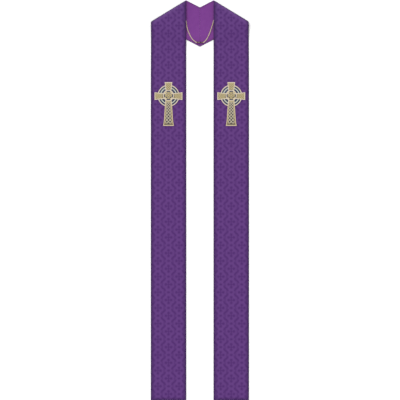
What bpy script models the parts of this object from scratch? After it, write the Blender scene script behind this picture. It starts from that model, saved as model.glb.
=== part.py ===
"""A clerical stole laid flat, face up: two straight bands folded at the shoulders and mitred behind the neck.

The frame: +X to the right, +Y towards the neck, +Z up, with the origin on the surface under the middle.
Each band is worked out once, for the right side, and mirrored for the left.
"""

import math
from collections import namedtuple

import bmesh
import bpy
import numpy as np

# Driving dimensions, in metres and radians.
LENGTH = 1.361  # hem to the point where the shoulder fold meets the neck edge
HEM_Y = -0.680
BAND_WIDTH = 0.120
HALF_GAP = 0.0467  # centre line to the neck edge of each front
FOLD_SLOPE = math.radians(31.3)  # fall of the shoulder fold from the neck to the outer edge
BACK_TAPER = 0.001  # how much narrower the band is at the centre back

OUTER_WALL = 0.0012  # brocade with its interlining
LINING_WALL = 0.0010
SEAM_GAP = 0.0003
LINING_INSET = 0.0003  # the seam is rolled this far under, so that the lining doesn't show from above
HEM_ROUNDING = 0.55  # share of each wall's thickness left at the hem's very edge
LAYER_GAP = 0.0005  # front lining to the back band that it lies on
ROLL_RADIUS = 0.0035  # of the cloth's middle where it turns over the shoulder
ROLL_DRAW = 0.0014  # how far both edges draw in on the roll
RISE_START = 1.100  # along the front, above the emblem
SETTLE_START = 0.003  # past the edge of the back band
SETTLE_RUN = 0.040
PUFF_RUN = 0.055  # over which the front comes down from the roll
PUFF_HOLD = 0.070  # of full height at the neck edge, which the cord props up
PUFF_HOLD_OUTER = 0.010  # and at the outer edge
SLOPE_STEP = 0.0005  # over which the front's slope is measured

CROSS_X = 0.1067  # centre of each emblem's ring
CROSS_Y = 0.3553
ARM_UP = 0.0471
ARM_SIDE = 0.0473
ARM_DOWN = 0.1020
ARM_WAIST = 0.0095  # half widths
ARM_END = 0.0128
SHAFT_END = 0.0157
FOOT_FLARE = 0.0028
FLARE_START = 0.72  # share of the shaft's length
ARM_SHARES = (1.0, 0.72, 0.4)  # of an arm's length, where its outline has points
SHAFT_SHARES = (0.25, 0.5, FLARE_START, 0.82, 0.91, 1.0)
RING_RADIUS = 0.0372
RING_BAND = 0.0040
INNER_RING_RADIUS = 0.0283
INNER_RING_BAND = 0.0034
BOSS_RADIUS = 0.0195
BOSS_BAND = 0.0032
BUTTON_RADIUS = 0.0060
BUTTON_CROWN = 0.6  # share of its radius that is flat on top
BORDER = 0.0030  # stitched border of the arms
GROUND_HEIGHT = 0.0009
RING_HEIGHT = 0.0014
ARM_HEIGHT = 0.0015
BORDER_HEIGHT = 0.0020
BOSS_HEIGHT = 0.0019
BOSS_BORDER_HEIGHT = 0.0023
RELIEF_ROOT = 0.0005  # where raised bands start inside the ground
EDGE_SLOPE = 0.0004  # run of a raised band's sides
RELIEF_CLEAR = 0.0003  # keeps the sides of raised shapes off those of the ground
RING_STEPS = 28
BOSS_STEPS = 18
BUTTON_STEPS = 10

CORD_RADIUS = 0.0016
CORD_STEP = 0.0058  # between the points of a cord's tube
CURVE_SAMPLES = 24  # between two points of a route
CLASP_Y = 0.5369
CLASP_Z = 0.0053
CAP_RADIUS = 0.0025
CAP_START = 0.0106  # mouth of each cap, from the centre line
CAP_END = 0.0060
CAP_EDGE = 0.0004
CAP_SHOULDER = 0.0010
SOCKET_DEPTH = 0.0014
WIRE = 0.00045  # radius of the eyes' wire
EYE_RADIUS = 0.0015
LEFT_EYE_X = -0.0052
RIGHT_EYE_X = 0.0050
RING_WIRE = 0.0004
LINK_RADIUS = 0.0020
LINK_X = -0.00295
HOOK_THICKNESS = 0.0013
ROUND_STEPS = 12
WIRE_STEPS = 6
Stretch = namedtuple("Stretch", "x half_width")
HOOK_BODY = (
    Stretch(-0.00275, 0.0012),
    Stretch(-0.0023, 0.0029),
    Stretch(-0.0012, 0.0039),
    Stretch(0.0004, 0.0042),
    Stretch(0.0020, 0.0033),
    Stretch(0.0032, 0.0021),
    Stretch(0.0044, 0.0014),
    Stretch(0.0050, 0.0007),
)
Hole = namedtuple("Hole", "name x half_length half_width")
HOOK_HOLES = (
    Hole("mouth", -0.0002, 0.0016, 0.0028),
    Hole("tail", 0.0035, 0.00085, 0.00075),
)

# Worked out from them.
APEX_Y = HEM_Y + LENGTH
FACE = SEAM_GAP / 2 + OUTER_WALL
BACKING = SEAM_GAP / 2 + LINING_WALL
FRONT_LEVEL = BACKING
BACK_LEVEL = FACE
LIFT_OVER_BACK = FACE + BACKING + LAYER_GAP
LIFT_AT_ROLL = BACK_LEVEL + 2 * ROLL_RADIUS - FRONT_LEVEL - LIFT_OVER_BACK
ROLL_START = -(ROLL_RADIUS + FACE)  # past the fold line
ROLL_END = ROLL_START + math.pi * ROLL_RADIUS
BACK_SHIFT = ROLL_START + ROLL_END  # the roll moves the back band this far outwards
SIN, COS = math.sin(FOLD_SLOPE), math.cos(FOLD_SLOPE)
SIN2, COS2 = math.sin(2 * FOLD_SLOPE), math.cos(2 * FOLD_SLOPE)


def fold_station(across, past):
    """Distance from the hem at which a line `past` the fold crosses the band, `across` from the neck edge."""
    return LENGTH + (past - across * SIN) / COS


def seam_station(across):
    """Distance from the hem to the centre back seam, which stands half a seam gap from the centre line."""
    return LENGTH + (HALF_GAP + across * COS2 + BACK_SHIFT * SIN - SEAM_GAP / 2) / SIN2


# A ring crosses the band from `inner` on the neck edge to `outer` on the other, both measured from the hem.
# draw_in is how far both edges come in, taper how much further the outer one does, and rings how many steps
# lead to the section from the one before it.
Section = namedtuple("Section", "name inner outer draw_in taper rings")


def fold_section(name, past, draw_in, taper, rings):
    return Section(name, fold_station(0, past), fold_station(BAND_WIDTH, past), draw_in, taper, rings)


SECTIONS = (
    Section("hem", 0.0, 0.0, 0.0004, 0.0, 0),
    Section("hem edge", 0.0007, 0.0007, 0.0, 0.0, 1),
    Section("rise", RISE_START, RISE_START, 0.0, 0.0, 8),
    fold_section("roll starts", ROLL_START, 0.0006, 0.0, 18),
    fold_section("roll middle", (ROLL_START + ROLL_END) / 2, ROLL_DRAW, 0.0, 4),
    fold_section("roll ends", ROLL_END, 0.0006, 0.0006, 4),
    Section("centre back", seam_station(0), seam_station(BAND_WIDTH), 0.0, BACK_TAPER, 7),
)

# Each wall's edge: distance in from the edge, and offset from the cloth's middle, towards its face.
Corner = namedtuple("Corner", "inset offset")
OUTER_EDGE = (
    Corner(0.0005, SEAM_GAP / 2),
    Corner(0.0, 0.35 * FACE),
    Corner(0.0, 0.55 * FACE),
    Corner(0.0007, 0.87 * FACE),
    Corner(0.0030, FACE),
)
LINING_EDGE = (
    Corner(0.0005, -SEAM_GAP / 2),
    Corner(LINING_INSET, -0.5 * BACKING),
    Corner(0.0009, -BACKING),
)
WEB_INSET = OUTER_EDGE[-1].inset
WEB_COLUMNS = 8  # between the two edges

# Routes of the neck cord's two halves, from under the front to the cap's mouth.
Point = namedtuple("Point", "x y z")
LEFT_ROUTE = (
    Point(-0.0566, 0.6260, 0.00530),
    Point(-0.0534, 0.6224, 0.00515),
    Point(-0.0505, 0.6178, 0.00480),
    Point(-0.0482, 0.6126, 0.00445),
    Point(-0.0465, 0.6068, 0.00445),
    Point(-0.0455, 0.6000, 0.00441),
    Point(-0.0446, 0.5930, 0.00441),
    Point(-0.0431, 0.5864, 0.00441),
    Point(-0.0412, 0.5798, 0.00441),
    Point(-0.0389, 0.5734, 0.00441),
    Point(-0.0363, 0.5672, 0.00441),
    Point(-0.0334, 0.5612, 0.00441),
    Point(-0.0303, 0.5553, 0.00441),
    Point(-0.0266, 0.5498, 0.00443),
    Point(-0.0221, 0.5450, 0.00455),
    Point(-0.0173, 0.5410, 0.00470),
    Point(-0.0132, 0.5380, 0.00510),
    Point(-0.0103, 0.5369, 0.00530),
)
RIGHT_ROUTE = (
    Point(0.0566, 0.6260, 0.00530),
    Point(0.0532, 0.6224, 0.00515),
    Point(0.0501, 0.6178, 0.00480),
    Point(0.0476, 0.6124, 0.00445),
    Point(0.0454, 0.6060, 0.00445),
    Point(0.0433, 0.5990, 0.00441),
    Point(0.0411, 0.5920, 0.00441),
    Point(0.0388, 0.5850, 0.00441),
    Point(0.0364, 0.5780, 0.00441),
    Point(0.0340, 0.5711, 0.00441),
    Point(0.0313, 0.5644, 0.00441),
    Point(0.0283, 0.5579, 0.00441),
    Point(0.0251, 0.5516, 0.00443),
    Point(0.0213, 0.5458, 0.00453),
    Point(0.0170, 0.5410, 0.00466),
    Point(0.0131, 0.5380, 0.00510),
    Point(0.0103, 0.5369, 0.00530),
)


def smooth_fall(distance):
    """1 up to 0, then an S-shaped fall to 0 at 1."""
    t = np.clip(distance, 0, 1)
    return 1 - t * t * (3 - 2 * t)


def front_level(x, y):
    """Height of the front's middle over the surface: it climbs over the back band, then up to the roll."""
    right, down = x - HALF_GAP, y - APEX_Y
    past = right * SIN + down * COS
    beyond_back = (right - BACK_SHIFT * SIN) * COS2 - (down - BACK_SHIFT * COS) * SIN2 - BAND_WIDTH
    outwards = np.clip(right / BAND_WIDTH, 0, 1)
    hold = PUFF_HOLD + (PUFF_HOLD_OUTER - PUFF_HOLD) * outwards
    over_back = smooth_fall((beyond_back - SETTLE_START) / SETTLE_RUN)
    puff = smooth_fall((-past - hold) / PUFF_RUN)
    return FRONT_LEVEL + LIFT_OVER_BACK * over_back + LIFT_AT_ROLL * puff


def lay(across, station):
    """Points and outward normals of the right band's middle, from its flat pattern."""
    past = across * SIN + (station - LENGTH) * COS
    along = across * COS - (station - LENGTH) * SIN
    turn = np.clip((past - ROLL_START) / ROLL_RADIUS, 0, math.pi)
    out = np.where(past < ROLL_START, past, ROLL_START + ROLL_RADIUS * np.sin(turn))
    out = np.where(past > ROLL_END, ROLL_START + ROLL_END - past, out)
    x = HALF_GAP + along * COS + out * SIN
    y = APEX_Y - along * SIN + out * COS
    on_front = past < ROLL_START
    z = np.where(on_front, front_level(x, y), BACK_LEVEL + ROLL_RADIUS * (1 + np.cos(turn)))
    slope_x = (front_level(x + SLOPE_STEP, y) - front_level(x - SLOPE_STEP, y)) / (2 * SLOPE_STEP)
    slope_y = (front_level(x, y + SLOPE_STEP) - front_level(x, y - SLOPE_STEP)) / (2 * SLOPE_STEP)
    normal_x = np.where(on_front, -slope_x, np.sin(turn) * SIN)
    normal_y = np.where(on_front, -slope_y, np.sin(turn) * COS)
    normal_z = np.where(on_front, 1.0, np.cos(turn))
    normals = np.stack([normal_x, normal_y, normal_z], axis=-1)
    normals /= np.linalg.norm(normals, axis=-1, keepdims=True)
    return np.stack([x, y, z], axis=-1), normals


def stations():
    """Every ring's section, stepped between the rows of SECTIONS."""
    rings = [SECTIONS[0]]
    for before, after in zip(SECTIONS, SECTIONS[1:]):
        for step in range(1, after.rings + 1):
            share = step / after.rings
            numbers = [a + (b - a) * share for a, b in zip(before[1:5], after[1:5])]
            rings.append(Section(after.name, *numbers, 0))
    return rings


def cloth_ring(section, corners):
    """One ring of a wall; each corner is (side, inset or share, offset), side -1 neck, 1 outer, 0 between."""
    near, far = section.draw_in, BAND_WIDTH - section.draw_in - section.taper
    across = []
    for side, place, _ in corners:
        if side < 0:
            across.append(near + place)
        elif side > 0:
            across.append(far - place)
        else:
            across.append(near + WEB_INSET + (far - near - 2 * WEB_INSET) * place)
    across = np.array(across)
    station = section.inner + (section.outer - section.inner) * across / BAND_WIDTH
    points, normals = lay(across, station)
    offsets = np.array([offset for _, _, offset in corners])
    return points + normals * offsets[:, None]


def wall_rings(edge, hem):
    """A wall's rings, with `edge` from its seam side to its shown side, starting at the station `hem`."""
    seam_side, shown_side = edge[0].offset, edge[-1].offset
    shares = [column / (WEB_COLUMNS + 1) for column in range(1, WEB_COLUMNS + 1)]
    corners = [(-1, corner.inset, corner.offset) for corner in edge]
    corners += [(0, share, shown_side) for share in shares]
    corners += [(1, corner.inset, corner.offset) for corner in reversed(edge)]
    corners += [(0, share, seam_side) for share in reversed(shares)]
    sections = stations()
    sections[0] = sections[0]._replace(inner=hem, outer=hem)
    rings = [cloth_ring(section, corners) for section in sections]
    seam_level = FRONT_LEVEL + seam_side
    rings[0][:, 2] = seam_level + (rings[0][:, 2] - seam_level) * HEM_ROUNDING
    return rings


def loft(rings, closed=False):
    """A closed mesh through rings of points, with flat ends unless the last ring meets the first."""
    mesh = bmesh.new()
    loops = [[mesh.verts.new(point) for point in ring] for ring in rings]
    pairs = list(zip(loops, loops[1:]))
    if closed:
        pairs.append((loops[-1], loops[0]))
    for before, after in pairs:
        for number, near in enumerate(before):
            following = (number + 1) % len(before)
            far, near_next, far_next = before[following], after[number], after[following]
            # The shorter diagonal, so that the facets of two walls that face each other fold alike.
            if (near.co - far_next.co).length < (far.co - near_next.co).length:
                mesh.faces.new((near, far, far_next))
                mesh.faces.new((near, far_next, near_next))
            else:
                mesh.faces.new((near, far, near_next))
                mesh.faces.new((far, far_next, near_next))
    if not closed:
        mesh.faces.new(loops[0])
        mesh.faces.new(loops[-1])
    bmesh.ops.recalc_face_normals(mesh, faces=mesh.faces)
    return mesh


def mirrored(rings, side):
    return [np.asarray(ring) * (side, 1, 1) for ring in rings]


def finish(mesh, name, surface, smooth_angle=35):
    """Makes the node's object from a bmesh."""
    data = bpy.data.meshes.new(name)
    mesh.to_mesh(data)
    mesh.free()
    data.materials.append(surface)
    data.shade_smooth()
    data.set_sharp_from_angle(angle=math.radians(smooth_angle))
    node = bpy.data.objects.new(name, data)
    bpy.context.scene.collection.objects.link(node)
    return node


def helper(mesh, name):
    """A shape that a Boolean adds to or cuts from a node."""
    node = finish(mesh, name, None)
    node.hide_render = True
    node.display_type = "WIRE"
    return node


def combine(node, operation, *helpers):
    for other in helpers:
        step = node.modifiers.new(other.name, "BOOLEAN")
        step.operation = operation
        step.object = other


def srgb(red, green, blue):
    """Linear colour of a display colour whose channels run from 0 to 255."""
    return [((channel / 255 + 0.055) / 1.055) ** 2.4 for channel in (red, green, blue)] + [1]


def material(name, colour, roughness, metallic=0.0):
    made = bpy.data.materials.new(name)
    made.use_nodes = True
    surface = made.node_tree.nodes["Principled BSDF"]
    surface.inputs["Base Color"].default_value = srgb(*colour)
    surface.inputs["Roughness"].default_value = roughness
    surface.inputs["Metallic"].default_value = metallic
    made.diffuse_color = srgb(*colour)
    return made


def cross_half(inset):
    """Right half of the emblem's cross, from its top to its foot, drawn in by `inset`."""
    crotch = ARM_WAIST - inset

    def reach(length, share):
        return crotch + (length - inset - crotch) * share

    def arm_half(share):
        return crotch + (ARM_END - ARM_WAIST) * share**1.5

    def shaft_half(share):
        flare = FOOT_FLARE * max(0.0, (share - FLARE_START) / (1 - FLARE_START)) ** 2
        return crotch + (SHAFT_END - ARM_WAIST) * share**0.7 + flare

    up = [(arm_half(share), reach(ARM_UP, share)) for share in ARM_SHARES]
    out = [(reach(ARM_SIDE, share), arm_half(share)) for share in reversed(ARM_SHARES)]
    back = [(x, -y) for x, y in reversed(out)]
    down = [(shaft_half(share), -reach(ARM_DOWN, share)) for share in SHAFT_SHARES]
    return [*up, (crotch, crotch), *out, *back, (crotch, -crotch), *down]


def cross_outline(inset):
    half = cross_half(inset)
    return half + [(-x, y) for x, y in reversed(half)]


def circle(radius, steps):
    angles = [2 * math.pi * step / steps for step in range(steps)]
    return [(radius * math.sin(a), radius * math.cos(a)) for a in angles]


def on_panel(outline, height, side):
    """Points of an outline about the emblem's centre, moved out from the front's face by `height`."""
    flat = np.array(outline) + (CROSS_X, CROSS_Y)
    level = front_level(flat[:, 0], flat[:, 1]) + FACE + SEAM_GAP + height
    return np.column_stack([flat[:, 0] * side, flat[:, 1], level])


def slab(outline, bottom, top, side):
    return loft([on_panel(outline, bottom, side), on_panel(outline, top, side)])


def raised_band(outer, inner, top, side, shrink):
    """A band with sloping sides between two outlines; `shrink(outline, distance)` draws one in."""
    return loft(
        [
            on_panel(outer, RELIEF_ROOT, side),
            on_panel(shrink(outer, EDGE_SLOPE), top, side),
            on_panel(shrink(inner, -EDGE_SLOPE), top, side),
            on_panel(inner, RELIEF_ROOT, side),
        ],
        closed=True,
    )


def circle_band(radius, width, top, side, steps):
    def shrink(outline, distance):
        scale = 1 - distance / math.hypot(*outline[0])
        return [(x * scale, y * scale) for x, y in outline]

    return raised_band(circle(radius, steps), circle(radius - width, steps), top, side, shrink)


def build_cross(name, side, threads):
    """The embroidered emblem: a ground, two rings, the cross's arms and a boss, raised in steps."""
    arms = slab(cross_outline(0), 0, ARM_HEIGHT, side)
    ground = slab(circle(RING_RADIUS, RING_STEPS), 0, GROUND_HEIGHT, side)
    ring = circle_band(RING_RADIUS - RELIEF_CLEAR, RING_BAND, RING_HEIGHT, side, RING_STEPS)
    inner_ring = circle_band(INNER_RING_RADIUS, INNER_RING_BAND, RING_HEIGHT, side, RING_STEPS)
    border = loft(
        [
            on_panel(cross_outline(RELIEF_CLEAR), RELIEF_ROOT, side),
            on_panel(cross_outline(RELIEF_CLEAR + EDGE_SLOPE), BORDER_HEIGHT, side),
            on_panel(cross_outline(BORDER - EDGE_SLOPE), BORDER_HEIGHT, side),
            on_panel(cross_outline(BORDER), RELIEF_ROOT, side),
        ],
        closed=True,
    )
    boss = slab(circle(BOSS_RADIUS, BOSS_STEPS), RELIEF_ROOT, BOSS_HEIGHT, side)
    boss_band = circle_band(BOSS_RADIUS - RELIEF_CLEAR, BOSS_BAND, BOSS_BORDER_HEIGHT, side, BOSS_STEPS)
    button = loft(
        [
            on_panel(circle(BUTTON_RADIUS, BUTTON_STEPS), RELIEF_ROOT, side),
            on_panel(circle(BUTTON_RADIUS, BUTTON_STEPS), (BOSS_HEIGHT + BOSS_BORDER_HEIGHT) / 2, side),
            on_panel(circle(BUTTON_RADIUS * BUTTON_CROWN, BUTTON_STEPS), BOSS_BORDER_HEIGHT, side),
        ]
    )
    node = finish(arms, name, threads)
    shapes = {
        "border": border,
        "boss": boss,
        "boss_band": boss_band,
        "button": button,
        "ground": ground,
        "ring": ring,
        "inner_ring": inner_ring,
    }
    for part, mesh in shapes.items():
        combine(node, "UNION", helper(mesh, f"{name}_{part}"))
    return node


def smooth_route(route, step):
    """Points about `step` apart on a Catmull-Rom curve through the route's own points."""
    knots = np.array(route)
    ends = np.vstack([2 * knots[0] - knots[1], knots, 2 * knots[-1] - knots[-2]])
    samples = np.linspace(0, 1, CURVE_SAMPLES, endpoint=False)[:, None]
    fine = []
    for a, b, c, d in zip(ends, ends[1:], ends[2:], ends[3:]):
        curve = 2 * b + (c - a) * samples + (2 * a - 5 * b + 4 * c - d) * samples**2
        fine.append((curve + (3 * b - a - 3 * c + d) * samples**3) / 2)
    fine = np.vstack([*fine, knots[-1:]])
    travelled = np.concatenate([[0], np.cumsum(np.linalg.norm(np.diff(fine, axis=0), axis=1))])
    places = np.linspace(0, travelled[-1], round(travelled[-1] / step) + 1)
    return np.column_stack([np.interp(places, travelled, fine[:, axis]) for axis in range(3)])


def build_cord(name, route, gold_cord):
    data = bpy.data.curves.new(name, "CURVE")
    data.dimensions = "3D"
    data.bevel_depth = CORD_RADIUS
    data.bevel_resolution = 2
    data.use_fill_caps = True
    points = smooth_route(route, CORD_STEP)
    spline = data.splines.new("POLY")
    spline.points.add(len(points) - 1)
    for knot, point in zip(spline.points, points):
        knot.co = (*point, 1)
    data.materials.append(gold_cord)
    node = bpy.data.objects.new(name, data)
    bpy.context.scene.collection.objects.link(node)
    return node


def clasp_circle(x, radius):
    """A circle round the clasp's axis, at x along it."""
    angles = [2 * math.pi * (step + 0.5) / ROUND_STEPS for step in range(ROUND_STEPS)]
    return [(x, CLASP_Y + radius * math.cos(a), CLASP_Z + radius * math.sin(a)) for a in angles]


def wire_ring(centre_x, radius, wire, upright):
    """A ring of round wire on the clasp's axis, standing along it if upright, or else lying flat."""
    rings = []
    for step in range(ROUND_STEPS):
        turn = 2 * math.pi * step / ROUND_STEPS
        ring = []
        for corner in range(WIRE_STEPS):
            angle = 2 * math.pi * corner / WIRE_STEPS
            reach = radius + wire * math.cos(angle)
            rise = wire * math.sin(angle)
            x = centre_x + reach * math.cos(turn)
            around = reach * math.sin(turn)
            if upright:
                ring.append((x, CLASP_Y + rise, CLASP_Z + around))
            else:
                ring.append((x, CLASP_Y + around, CLASP_Z + rise))
        rings.append(ring)
    return loft(rings, closed=True)


def build_cap(name, side, eye_x, upright, brass):
    """A turned end cap that grips the cord in its socket, with a wire eye on its other end."""
    socket = CORD_RADIUS + SEAM_GAP
    profile = (
        (CAP_START - SOCKET_DEPTH, socket),
        (CAP_START, socket),
        (CAP_START, CAP_RADIUS - CAP_EDGE / 4),
        (CAP_START - CAP_EDGE, CAP_RADIUS),
        (CAP_END + CAP_SHOULDER, CAP_RADIUS),
        (CAP_END, CAP_RADIUS - CAP_SHOULDER),
    )
    node = finish(loft([clasp_circle(side * x, radius) for x, radius in profile]), name, brass)
    combine(node, "UNION", helper(wire_ring(eye_x, EYE_RADIUS, WIRE, upright), f"{name}_eye"))
    return node


def build_hook(brass):
    """The clasp's hook: a flat pear-shaped body, its mouth round the ring and its tail on the right eye."""
    outline = [(s.x, s.half_width) for s in HOOK_BODY] + [(s.x, -s.half_width) for s in reversed(HOOK_BODY)]

    def level(points, rise):
        return [(x, CLASP_Y + y, CLASP_Z + rise) for x, y in points]

    half = HOOK_THICKNESS / 2
    node = finish(loft([level(outline, -half), level(outline, half)]), "clasp_hook", brass)
    for hole in HOOK_HOLES:
        rim = [(hole.x + hole.half_length * x, hole.half_width * y) for x, y in circle(1, ROUND_STEPS)]
        cutter = loft([level(rim, -HOOK_THICKNESS), level(rim, HOOK_THICKNESS)])
        combine(node, "DIFFERENCE", helper(cutter, f"clasp_hook_{hole.name}"))
    return node


def main():
    for existing in list(bpy.data.objects):
        bpy.data.objects.remove(existing)
    brocade = material("purple_brocade", (98, 60, 126), 0.55)
    satin = material("purple_satin", (126, 69, 146), 0.38)
    threads = material("gold_embroidery", (190, 172, 122), 0.5)
    gold_cord = material("gold_cord", (186, 160, 128), 0.55)
    brass = material("antique_brass", (112, 86, 62), 0.35, 1.0)
    for label, side in (("left", -1), ("right", 1)):
        finish(loft(mirrored(wall_rings(OUTER_EDGE, 0.0), side)), f"outer_{label}", brocade)
        finish(loft(mirrored(wall_rings(LINING_EDGE, LINING_INSET), side)), f"lining_{label}", satin)
        build_cross(f"cross_{label}", side, threads)
    build_cord("cord_left", LEFT_ROUTE, gold_cord)
    build_cord("cord_right", RIGHT_ROUTE, gold_cord)
    build_cap("cap_left", -1, LEFT_EYE_X, False, brass)
    build_cap("cap_right", 1, RIGHT_EYE_X, True, brass)
    finish(wire_ring(LINK_X, LINK_RADIUS, RING_WIRE, True), "clasp_ring", brass)
    build_hook(brass)


main()
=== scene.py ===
# %% [markdown]
# # A clerical stole, laid flat
#
# A stole is two long bands of brocade. Each is folded over a shoulder, and the two are joined behind the
# neck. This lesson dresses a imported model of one: the model gives every piece its place and size, and the
# cells below give each piece its woven, sewn or cast surface.

import math
from collections import namedtuple
from functools import partialmethod

import bpy
import numpy as np
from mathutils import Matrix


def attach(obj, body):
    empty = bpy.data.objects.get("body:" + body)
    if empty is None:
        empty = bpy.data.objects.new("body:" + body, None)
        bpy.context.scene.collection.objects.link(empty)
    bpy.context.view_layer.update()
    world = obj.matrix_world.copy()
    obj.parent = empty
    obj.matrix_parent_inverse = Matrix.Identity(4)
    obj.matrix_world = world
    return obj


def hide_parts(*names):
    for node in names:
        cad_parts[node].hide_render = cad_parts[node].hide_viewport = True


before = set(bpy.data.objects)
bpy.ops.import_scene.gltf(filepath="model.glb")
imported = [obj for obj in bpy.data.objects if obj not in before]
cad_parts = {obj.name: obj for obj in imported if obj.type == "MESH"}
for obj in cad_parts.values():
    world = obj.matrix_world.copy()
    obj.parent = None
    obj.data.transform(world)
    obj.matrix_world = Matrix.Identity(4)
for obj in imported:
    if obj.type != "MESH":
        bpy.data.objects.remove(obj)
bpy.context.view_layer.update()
print("nodes:", ", ".join(sorted(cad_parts)))

# %% [markdown]
# ## Camera
#
# The stole lies on its surface and is seen from straight above, so the camera looks down the Z axis. A long
# lens far away keeps the picture nearly free of perspective. The lens and the width of surface that should
# fill the square picture give the height.

# %% Camera
PICTURE_WIDTH = 1.3615  # metres of surface across the picture
PICTURE_CENTRE = (0.0004, 0.0016)  # on the surface
LENS = 100.0  # millimetres, and so is the sensor
SENSOR = 36.0

scene = bpy.context.scene
eye = bpy.data.cameras.new("camera")
eye.lens = LENS
eye.sensor_width = SENSOR
camera = bpy.data.objects.new("camera", eye)
camera.location = (*PICTURE_CENTRE, PICTURE_WIDTH * LENS / SENSOR)
scene.collection.objects.link(camera)
scene.camera = camera
print(f"camera {camera.location.z:.2f} m above the surface")

# %% [markdown]
# ## Routes of the neck cord
#
# A gold cord is sewn under the neck edge of each front, and its two halves meet in a clasp. Their routes are
# settled first, because every other piece must leave room for them. A Catmull-Rom curve runs through the
# points: between two of them it is a cubic whose slope at each end follows the neighbours.

# %% Routes of the neck cord
CORD_DIAMETER = 0.0032
CORD_STEP = 0.00035
CURVE_STEPS = 24  # from point to point
CLASP_Y = 0.5369
CLASP_Z = 0.0053
ROUTES = {
    "left": (
        (-0.0566, 0.6260, 0.00530), (-0.0534, 0.6224, 0.00515), (-0.0505, 0.6178, 0.00480),
        (-0.0482, 0.6126, 0.00445), (-0.0465, 0.6068, 0.00445), (-0.0455, 0.6000, 0.00441),
        (-0.0446, 0.5930, 0.00441), (-0.0431, 0.5864, 0.00441), (-0.0412, 0.5798, 0.00441),
        (-0.0389, 0.5734, 0.00441), (-0.0363, 0.5672, 0.00441), (-0.0334, 0.5612, 0.00441),
        (-0.0303, 0.5553, 0.00441), (-0.0266, 0.5498, 0.00443), (-0.0221, 0.5450, 0.00455),
        (-0.0173, 0.5410, 0.00470), (-0.0132, 0.5380, 0.00510), (-0.0103, 0.5369, 0.00530),
    ),
    "right": (
        (0.0566, 0.6260, 0.00530), (0.0532, 0.6224, 0.00515), (0.0501, 0.6178, 0.00480),
        (0.0476, 0.6124, 0.00445), (0.0454, 0.6060, 0.00445), (0.0433, 0.5990, 0.00441),
        (0.0411, 0.5920, 0.00441), (0.0388, 0.5850, 0.00441), (0.0364, 0.5780, 0.00441),
        (0.0340, 0.5711, 0.00441), (0.0313, 0.5644, 0.00441), (0.0283, 0.5579, 0.00441),
        (0.0251, 0.5516, 0.00443), (0.0213, 0.5458, 0.00453), (0.0170, 0.5410, 0.00466),
        (0.0131, 0.5380, 0.00510), (0.0103, 0.5369, 0.00530),
    ),
}


def lengths_along(path):
    """Distance travelled to each point of a path: the running sum of its steps' lengths."""
    steps = np.linalg.norm(np.diff(path, axis=0), axis=1)
    return np.concatenate([[0.0], np.cumsum(steps)])


def smooth_route(route):
    """Catmull-Rom curve, (2b + (c-a)t + (2a-5b+4c-d)t^2 + (3b-a-3c+d)t^3) / 2, read again at even steps."""
    knots = np.array(route)
    ends = np.vstack([2 * knots[0] - knots[1], knots, 2 * knots[-1] - knots[-2]])
    a, b, c, d = (ends[k : len(ends) - 3 + k, None, :] for k in range(4))
    t = np.linspace(0, 1, CURVE_STEPS, endpoint=False)[None, :, None]
    curve = (2 * b + (c - a) * t + (2 * a - 5 * b + 4 * c - d) * t**2 + (3 * b - a - 3 * c + d) * t**3) / 2
    path = np.vstack([curve.reshape(-1, 3), knots[-1:]])
    travelled = lengths_along(path)
    places = np.linspace(0, travelled[-1], round(travelled[-1] / CORD_STEP) + 1)
    return np.column_stack([np.interp(places, travelled, path[:, axis]) for axis in range(3)])


cord_paths = {label: smooth_route(route) for label, route in ROUTES.items()}
for label, path in cord_paths.items():
    print(f"{label} half of the cord: {lengths_along(path)[-1] * 1000:.1f} mm")

# %% [markdown]
# ## Surface and light
#
# A white table under an even studio sky, with one soft sun up and to the left, so that raised thread and
# folds still catch a little light. The Standard view keeps the cloth's purple as it was set.

# %% Surface and light
SKY_STRENGTH = 0.95
SUN_STRENGTH = 1.25
SUN_WIDTH = math.radians(35)
SUN_FROM = (-0.55, 0.62, 1.0)

scene.view_settings.view_transform = "Standard"
world = bpy.data.worlds.new("studio sky")
scene.world = world
world.use_nodes = True
world.node_tree.nodes["Background"].inputs["Color"].default_value = (1, 1, 1, 1)
world.node_tree.nodes["Background"].inputs["Strength"].default_value = SKY_STRENGTH

lamp = bpy.data.lights.new("soft sun", "SUN")
lamp.angle = SUN_WIDTH
lamp.energy = SUN_STRENGTH
sun = bpy.data.objects.new("soft sun", lamp)
lean = math.atan2(math.hypot(*SUN_FROM[:2]), SUN_FROM[2])
sun.rotation_euler = (lean, 0, math.atan2(SUN_FROM[1], SUN_FROM[0]) + math.pi / 2)
scene.collection.objects.link(sun)
print(f"sun {math.degrees(lean):.0f} degrees from straight above")

# %% [markdown]
# ## Shading with arithmetic
#
# Patterns here are formulas of the cloth's own coordinates. Writing a formula as dozens of Math nodes by hand
# is slow to read, so `Signal` lets Python's operators place the nodes: adding two signals adds one Math node.
# Patterns live in node groups, which any material can use with its own values.

# %% Shading with arithmetic
OPERATIONS = {  # what each operator or method of a signal is as a Math node
    "__add__": "ADD", "__sub__": "SUBTRACT", "__mul__": "MULTIPLY", "__truediv__": "DIVIDE",
    "__pow__": "POWER", "__abs__": "ABSOLUTE", "__round__": "ROUND", "sine": "SINE", "root": "SQRT",
    "least": "MINIMUM", "most": "MAXIMUM",
}


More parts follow.
